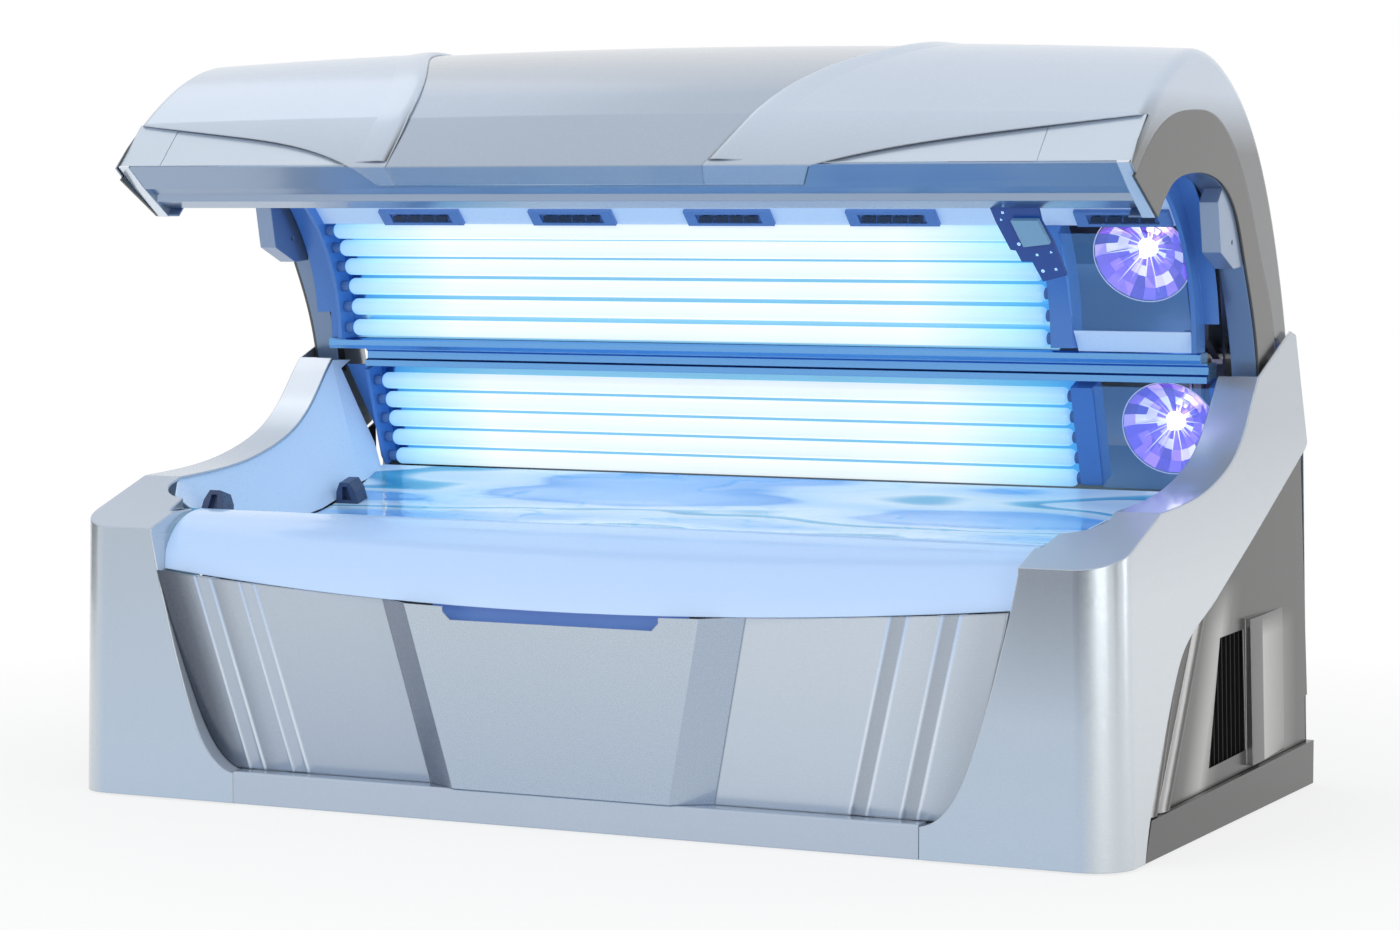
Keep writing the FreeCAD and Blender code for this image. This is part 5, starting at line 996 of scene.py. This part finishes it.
def make_lip_ends(material):
    """End blocks that close the folded lip's section against both arches."""
    points = [vert.co for vert in nodes["lip_profile"].data.vertices]
    reach = max(point.x for point in points)
    section = [(point.y, point.z) for point in points if point.x > reach - 1 * MM]
    foot = [(vert.co.y, vert.co.z) for vert in nodes["arch_soffits"].data.vertices
            if vert.co.y < -0.31]
    outline = section + foot
    middle = (sum(spot[0] for spot in outline) / len(outline),
              sum(spot[1] for spot in outline) / len(outline))
    grow = 1.02
    for side, name in ((-1, "lip_end_left"), (1, "lip_end_right")):
        mesh = bmesh.new()
        verts = []
        for inner in (END_BLOCK, 0.2 * MM):
            for y, z in outline:
                verts.append(mesh.verts.new((side * (reach - inner), middle[0] + (y - middle[0]) * grow,
                                             middle[1] + (z - middle[1]) * grow)))
        hull = bmesh.ops.convex_hull(mesh, input=verts)
        spare = {item for item in hull["geom_interior"] + hull["geom_unused"]
                 if isinstance(item, bmesh.types.BMVert)}
        bmesh.ops.delete(mesh, geom=list(spare), context="VERTS")
        new_piece(name, mesh, material, "canopy", smooth=30)


def make_notch(material):
    """The moulded back of the door's grip notch."""
    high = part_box("centre_front_panel")[1]
    half = 0.29
    back = -0.634
    top = high[2] + 12 * MM
    foot = high[2] - 75 * MM
    plane_piece("grip_recess", [(-half, back, foot), (half, back, foot), (half, back, top),
                                (-half, back, top)], 2 * MM, material, "base")


def make_bay_sill(material):
    """The sill under the upper face lamp's glass."""
    glass_low, glass_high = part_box("upper_face_glass")
    rail_low, rail_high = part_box("canopy_rail")
    points = [vert.co for vert in nodes["upper_face_glass"].data.vertices]
    edge = min(points, key=lambda point: point.z)
    near = Vector((0, edge.y - 2 * MM, edge.z + 4 * MM))
    far = Vector((0, rail_low[1] + 2 * MM, rail_high[2] + 1 * MM))
    left = Vector((glass_low[0] + 1 * MM, 0, 0))
    right = Vector((glass_high[0] - 1 * MM, 0, 0))
    plane_piece("bay_sill", [left + far, right + far, right + near, left + near], 2 * MM, material,
                "canopy")


def opening_box(name):
    """The corners of one of the record's stated openings."""
    for opening in frame["record"]["physics"]["openings"]:
        if opening["name"] == name:
            return [Vector(corner) for corner in opening["box_m"]]
    raise KeyError(name)


def make_outlet_screen(material):
    """A black dust mat behind the louvres of the rear air outlet, which also stands in for the shade inside
    the bed.
    """
    low, high = opening_box("outlet_box")
    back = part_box("rear_cover")[0][1] + 45 * MM
    plane_piece("outlet_mat", [(high.x, back, low.z), (low.x, back, low.z), (low.x, back, high.z),
                               (high.x, back, high.z)], 4 * MM, material, "base")


# ---------------- studio
def background_rays(tree):
    """1 for rays that show a background: from the camera, off a mirror or through glass."""
    path = tree.nodes.new("ShaderNodeLightPath")
    total = path.outputs["Is Camera Ray"]
    for name in ("Is Glossy Ray", "Is Transmission Ray"):
        plus = tree.nodes.new("ShaderNodeMath")
        plus.operation = "ADD"
        plus.use_clamp = True
        tree.links.new(total, plus.inputs[0])
        tree.links.new(path.outputs[name], plus.inputs[1])
        total = plus.outputs["Value"]
    return total


def make_world():
    """A white surround, and a soft grey room for diffuse light."""
    world = bpy.data.worlds.new("studio")
    bpy.context.scene.world = world
    world.use_nodes = True
    tree = world.node_tree
    tree.nodes.clear()
    output = tree.nodes.new("ShaderNodeOutputWorld")
    soft = tree.nodes.new("ShaderNodeBackground")
    soft.inputs["Color"].default_value = (0.96, 0.98, 1.0, 1)
    soft.inputs["Strength"].default_value = 0.45
    white = tree.nodes.new("ShaderNodeBackground")
    white.inputs["Color"].default_value = (1, 1, 1, 1)
    mix = tree.nodes.new("ShaderNodeMixShader")
    tree.links.new(background_rays(tree), mix.inputs["Fac"])
    tree.links.new(soft.outputs["Background"], mix.inputs[1])
    tree.links.new(white.outputs["Background"], mix.inputs[2])
    tree.links.new(mix.outputs["Shader"], output.inputs["Surface"])


def area_light(name, place, target, width, height, power, mirrored=False):
    """A soft box aimed at a point; gloss shows it only where it is mirrored."""
    data = bpy.data.lights.new(name, "AREA")
    data.shape = "RECTANGLE"
    data.size = width
    data.size_y = height
    data.energy = power
    lamp = bpy.data.objects.new(name, data)
    lamp.visible_glossy = mirrored
    lamp.location = place
    aim = Vector(target) - Vector(place)
    lamp.rotation_euler = aim.to_track_quat("-Z", "Y").to_euler()
    bpy.context.collection.objects.link(lamp)


PILLAR = (1.1, -0.6)


def around(azimuth, distance, height):
    """A place in the studio, by its angle round the head-end pillar, from +X."""
    turn = math.radians(azimuth)
    return Vector((PILLAR[0] + distance * math.cos(turn), PILLAR[1] + distance * math.sin(turn), height))


def strip_light(name, azimuth, width, height, power):
    """A tall narrow soft box that draws a bright streak down rounded corners."""
    area_light(name, around(azimuth, 6.0, height / 2), (*PILLAR, 0.6), width, height, power, True)


def dark_card(name, azimuth, width, height, shade):
    """An upright card that only mirrors see; it draws a dark streak beside the bright ones."""
    middle = around(azimuth, 6.5, height / 2)
    away = (middle - around(azimuth, 0.0, height / 2)).normalized()
    across = away.cross(Vector((0, 0, 1))) * (width / 2)
    upward = Vector((0, 0, height / 2))
    mesh = bmesh.new()
    mesh.faces.new([mesh.verts.new(middle + place) for place in
                    (-across - upward, across - upward, across + upward, -across + upward)])
    shader = Shader(name)
    shader.put(Base_Color=(0.0, 0.0, 0.0), Specular_IOR_Level=0.0, Emission_Color=shade,
               Emission_Strength=1.0)
    board = place_mesh(name, mesh, shader.material)
    for rays in ("camera", "diffuse", "transmission", "shadow"):
        setattr(board, "visible_" + rays, False)


def make_floor():
    """A pale floor that keeps the shadow near the bed and runs out to white."""
    shader = Shader("floor")
    mesh = bmesh.new()
    bmesh.ops.create_grid(mesh, x_segments=8, y_segments=8, size=30)
    floor = place_mesh("floor", mesh, shader.material)
    floor.location.z = -0.0005
    shade = shader.noise(0.8, 2.0)
    shader.put(Base_Color=shader.mix(shade, (0.93, 0.935, 0.94), (0.95, 0.955, 0.96)), Roughness=0.9,
               Specular_IOR_Level=0.1)
    distance = shader.add("ShaderNodeVectorMath", operation="LENGTH")
    shader.link(shader.place, distance.inputs[0])
    share = shader.spread(distance.outputs["Value"], 1.3, 3.0, 0.80, 1.0)
    glow = shader.add("ShaderNodeEmission")
    mix = shader.add("ShaderNodeMixShader")
    shader.link(shader.maths("MULTIPLY", background_rays(shader.tree), share), mix.inputs["Fac"])
    shader.link(shader.surface.outputs["BSDF"], mix.inputs[1])
    shader.link(glow.outputs["Emission"], mix.inputs[2])
    shader.link(mix.outputs["Shader"], shader.tree.nodes["Material Output"].inputs["Surface"])


def make_studio():
    """Soft boxes, cards that shape the reflections, and a pale floor."""
    make_world()
    area_light("key", (-2.2, -5.2, 3.6), (0, 0, 0.9), 3.6, 2.4, 75)
    area_light("top", (0.2, 0.2, 4.6), (0, 0, 1.0), 4.4, 2.4, 44)
    area_light("ridge", (-3.1, 0.8, 4.8), (0.4, -0.3, 1.5), 2.2, 2.2, 5, True)
    strip_light("front_strip", -38, 3.2, 3.2, 60)
    strip_light("side_strip", 34, 1.4, 3.0, 28)
    dark_card("front_card", -85, 4.2, 4.0, (0.10, 0.11, 0.13))
    dark_card("side_card", 2, 1.4, 4.0, (0.12, 0.12, 0.13))
    dark_card("far_card", 176, 3.0, 4.0, (0.15, 0.15, 0.16))
    make_floor()


# ---------------- the whole scene
bpy.context.scene.view_settings.view_transform = "Standard"
make_camera()
materials = make_materials()
dress_frame(materials)
make_tubes("canopy_tubes", "canopy_lamps", "canopy", materials["lamp"])
make_tubes("rear_wall_tubes", "rear_wall_lamps", "base", materials["lamp"])
make_tubes("bench_tubes", "bench_lamps", "base", materials["bench_lamp"])
make_sockets("canopy_sockets", "canopy_lamp_holders", "canopy", materials["socket"])
make_sockets("base_sockets", "base_lamp_holders", "base", materials["socket"])
make_facets("upper_facets", "upper_face_reflector", "canopy", materials)
make_facets("lower_facets", "lower_face_reflector", "base", materials)
make_keys(materials["icons"])
make_vent_slots(materials["slot"])
make_lip_ends(materials["silver"])
make_notch(materials["notch"])
make_bay_sill(materials["liner"])
make_outlet_screen(materials["mesh"])
make_fluting(-1, "front_panel_left", "left_fluting", materials["front"])
make_fluting(1, "front_panel_right", "right_fluting", materials["front"])
make_crest(-1, "canopy_wing_left", "left_crest", materials["canopy"])
make_crest(1, "canopy_wing_right", "right_crest", materials["canopy"])
make_studio()
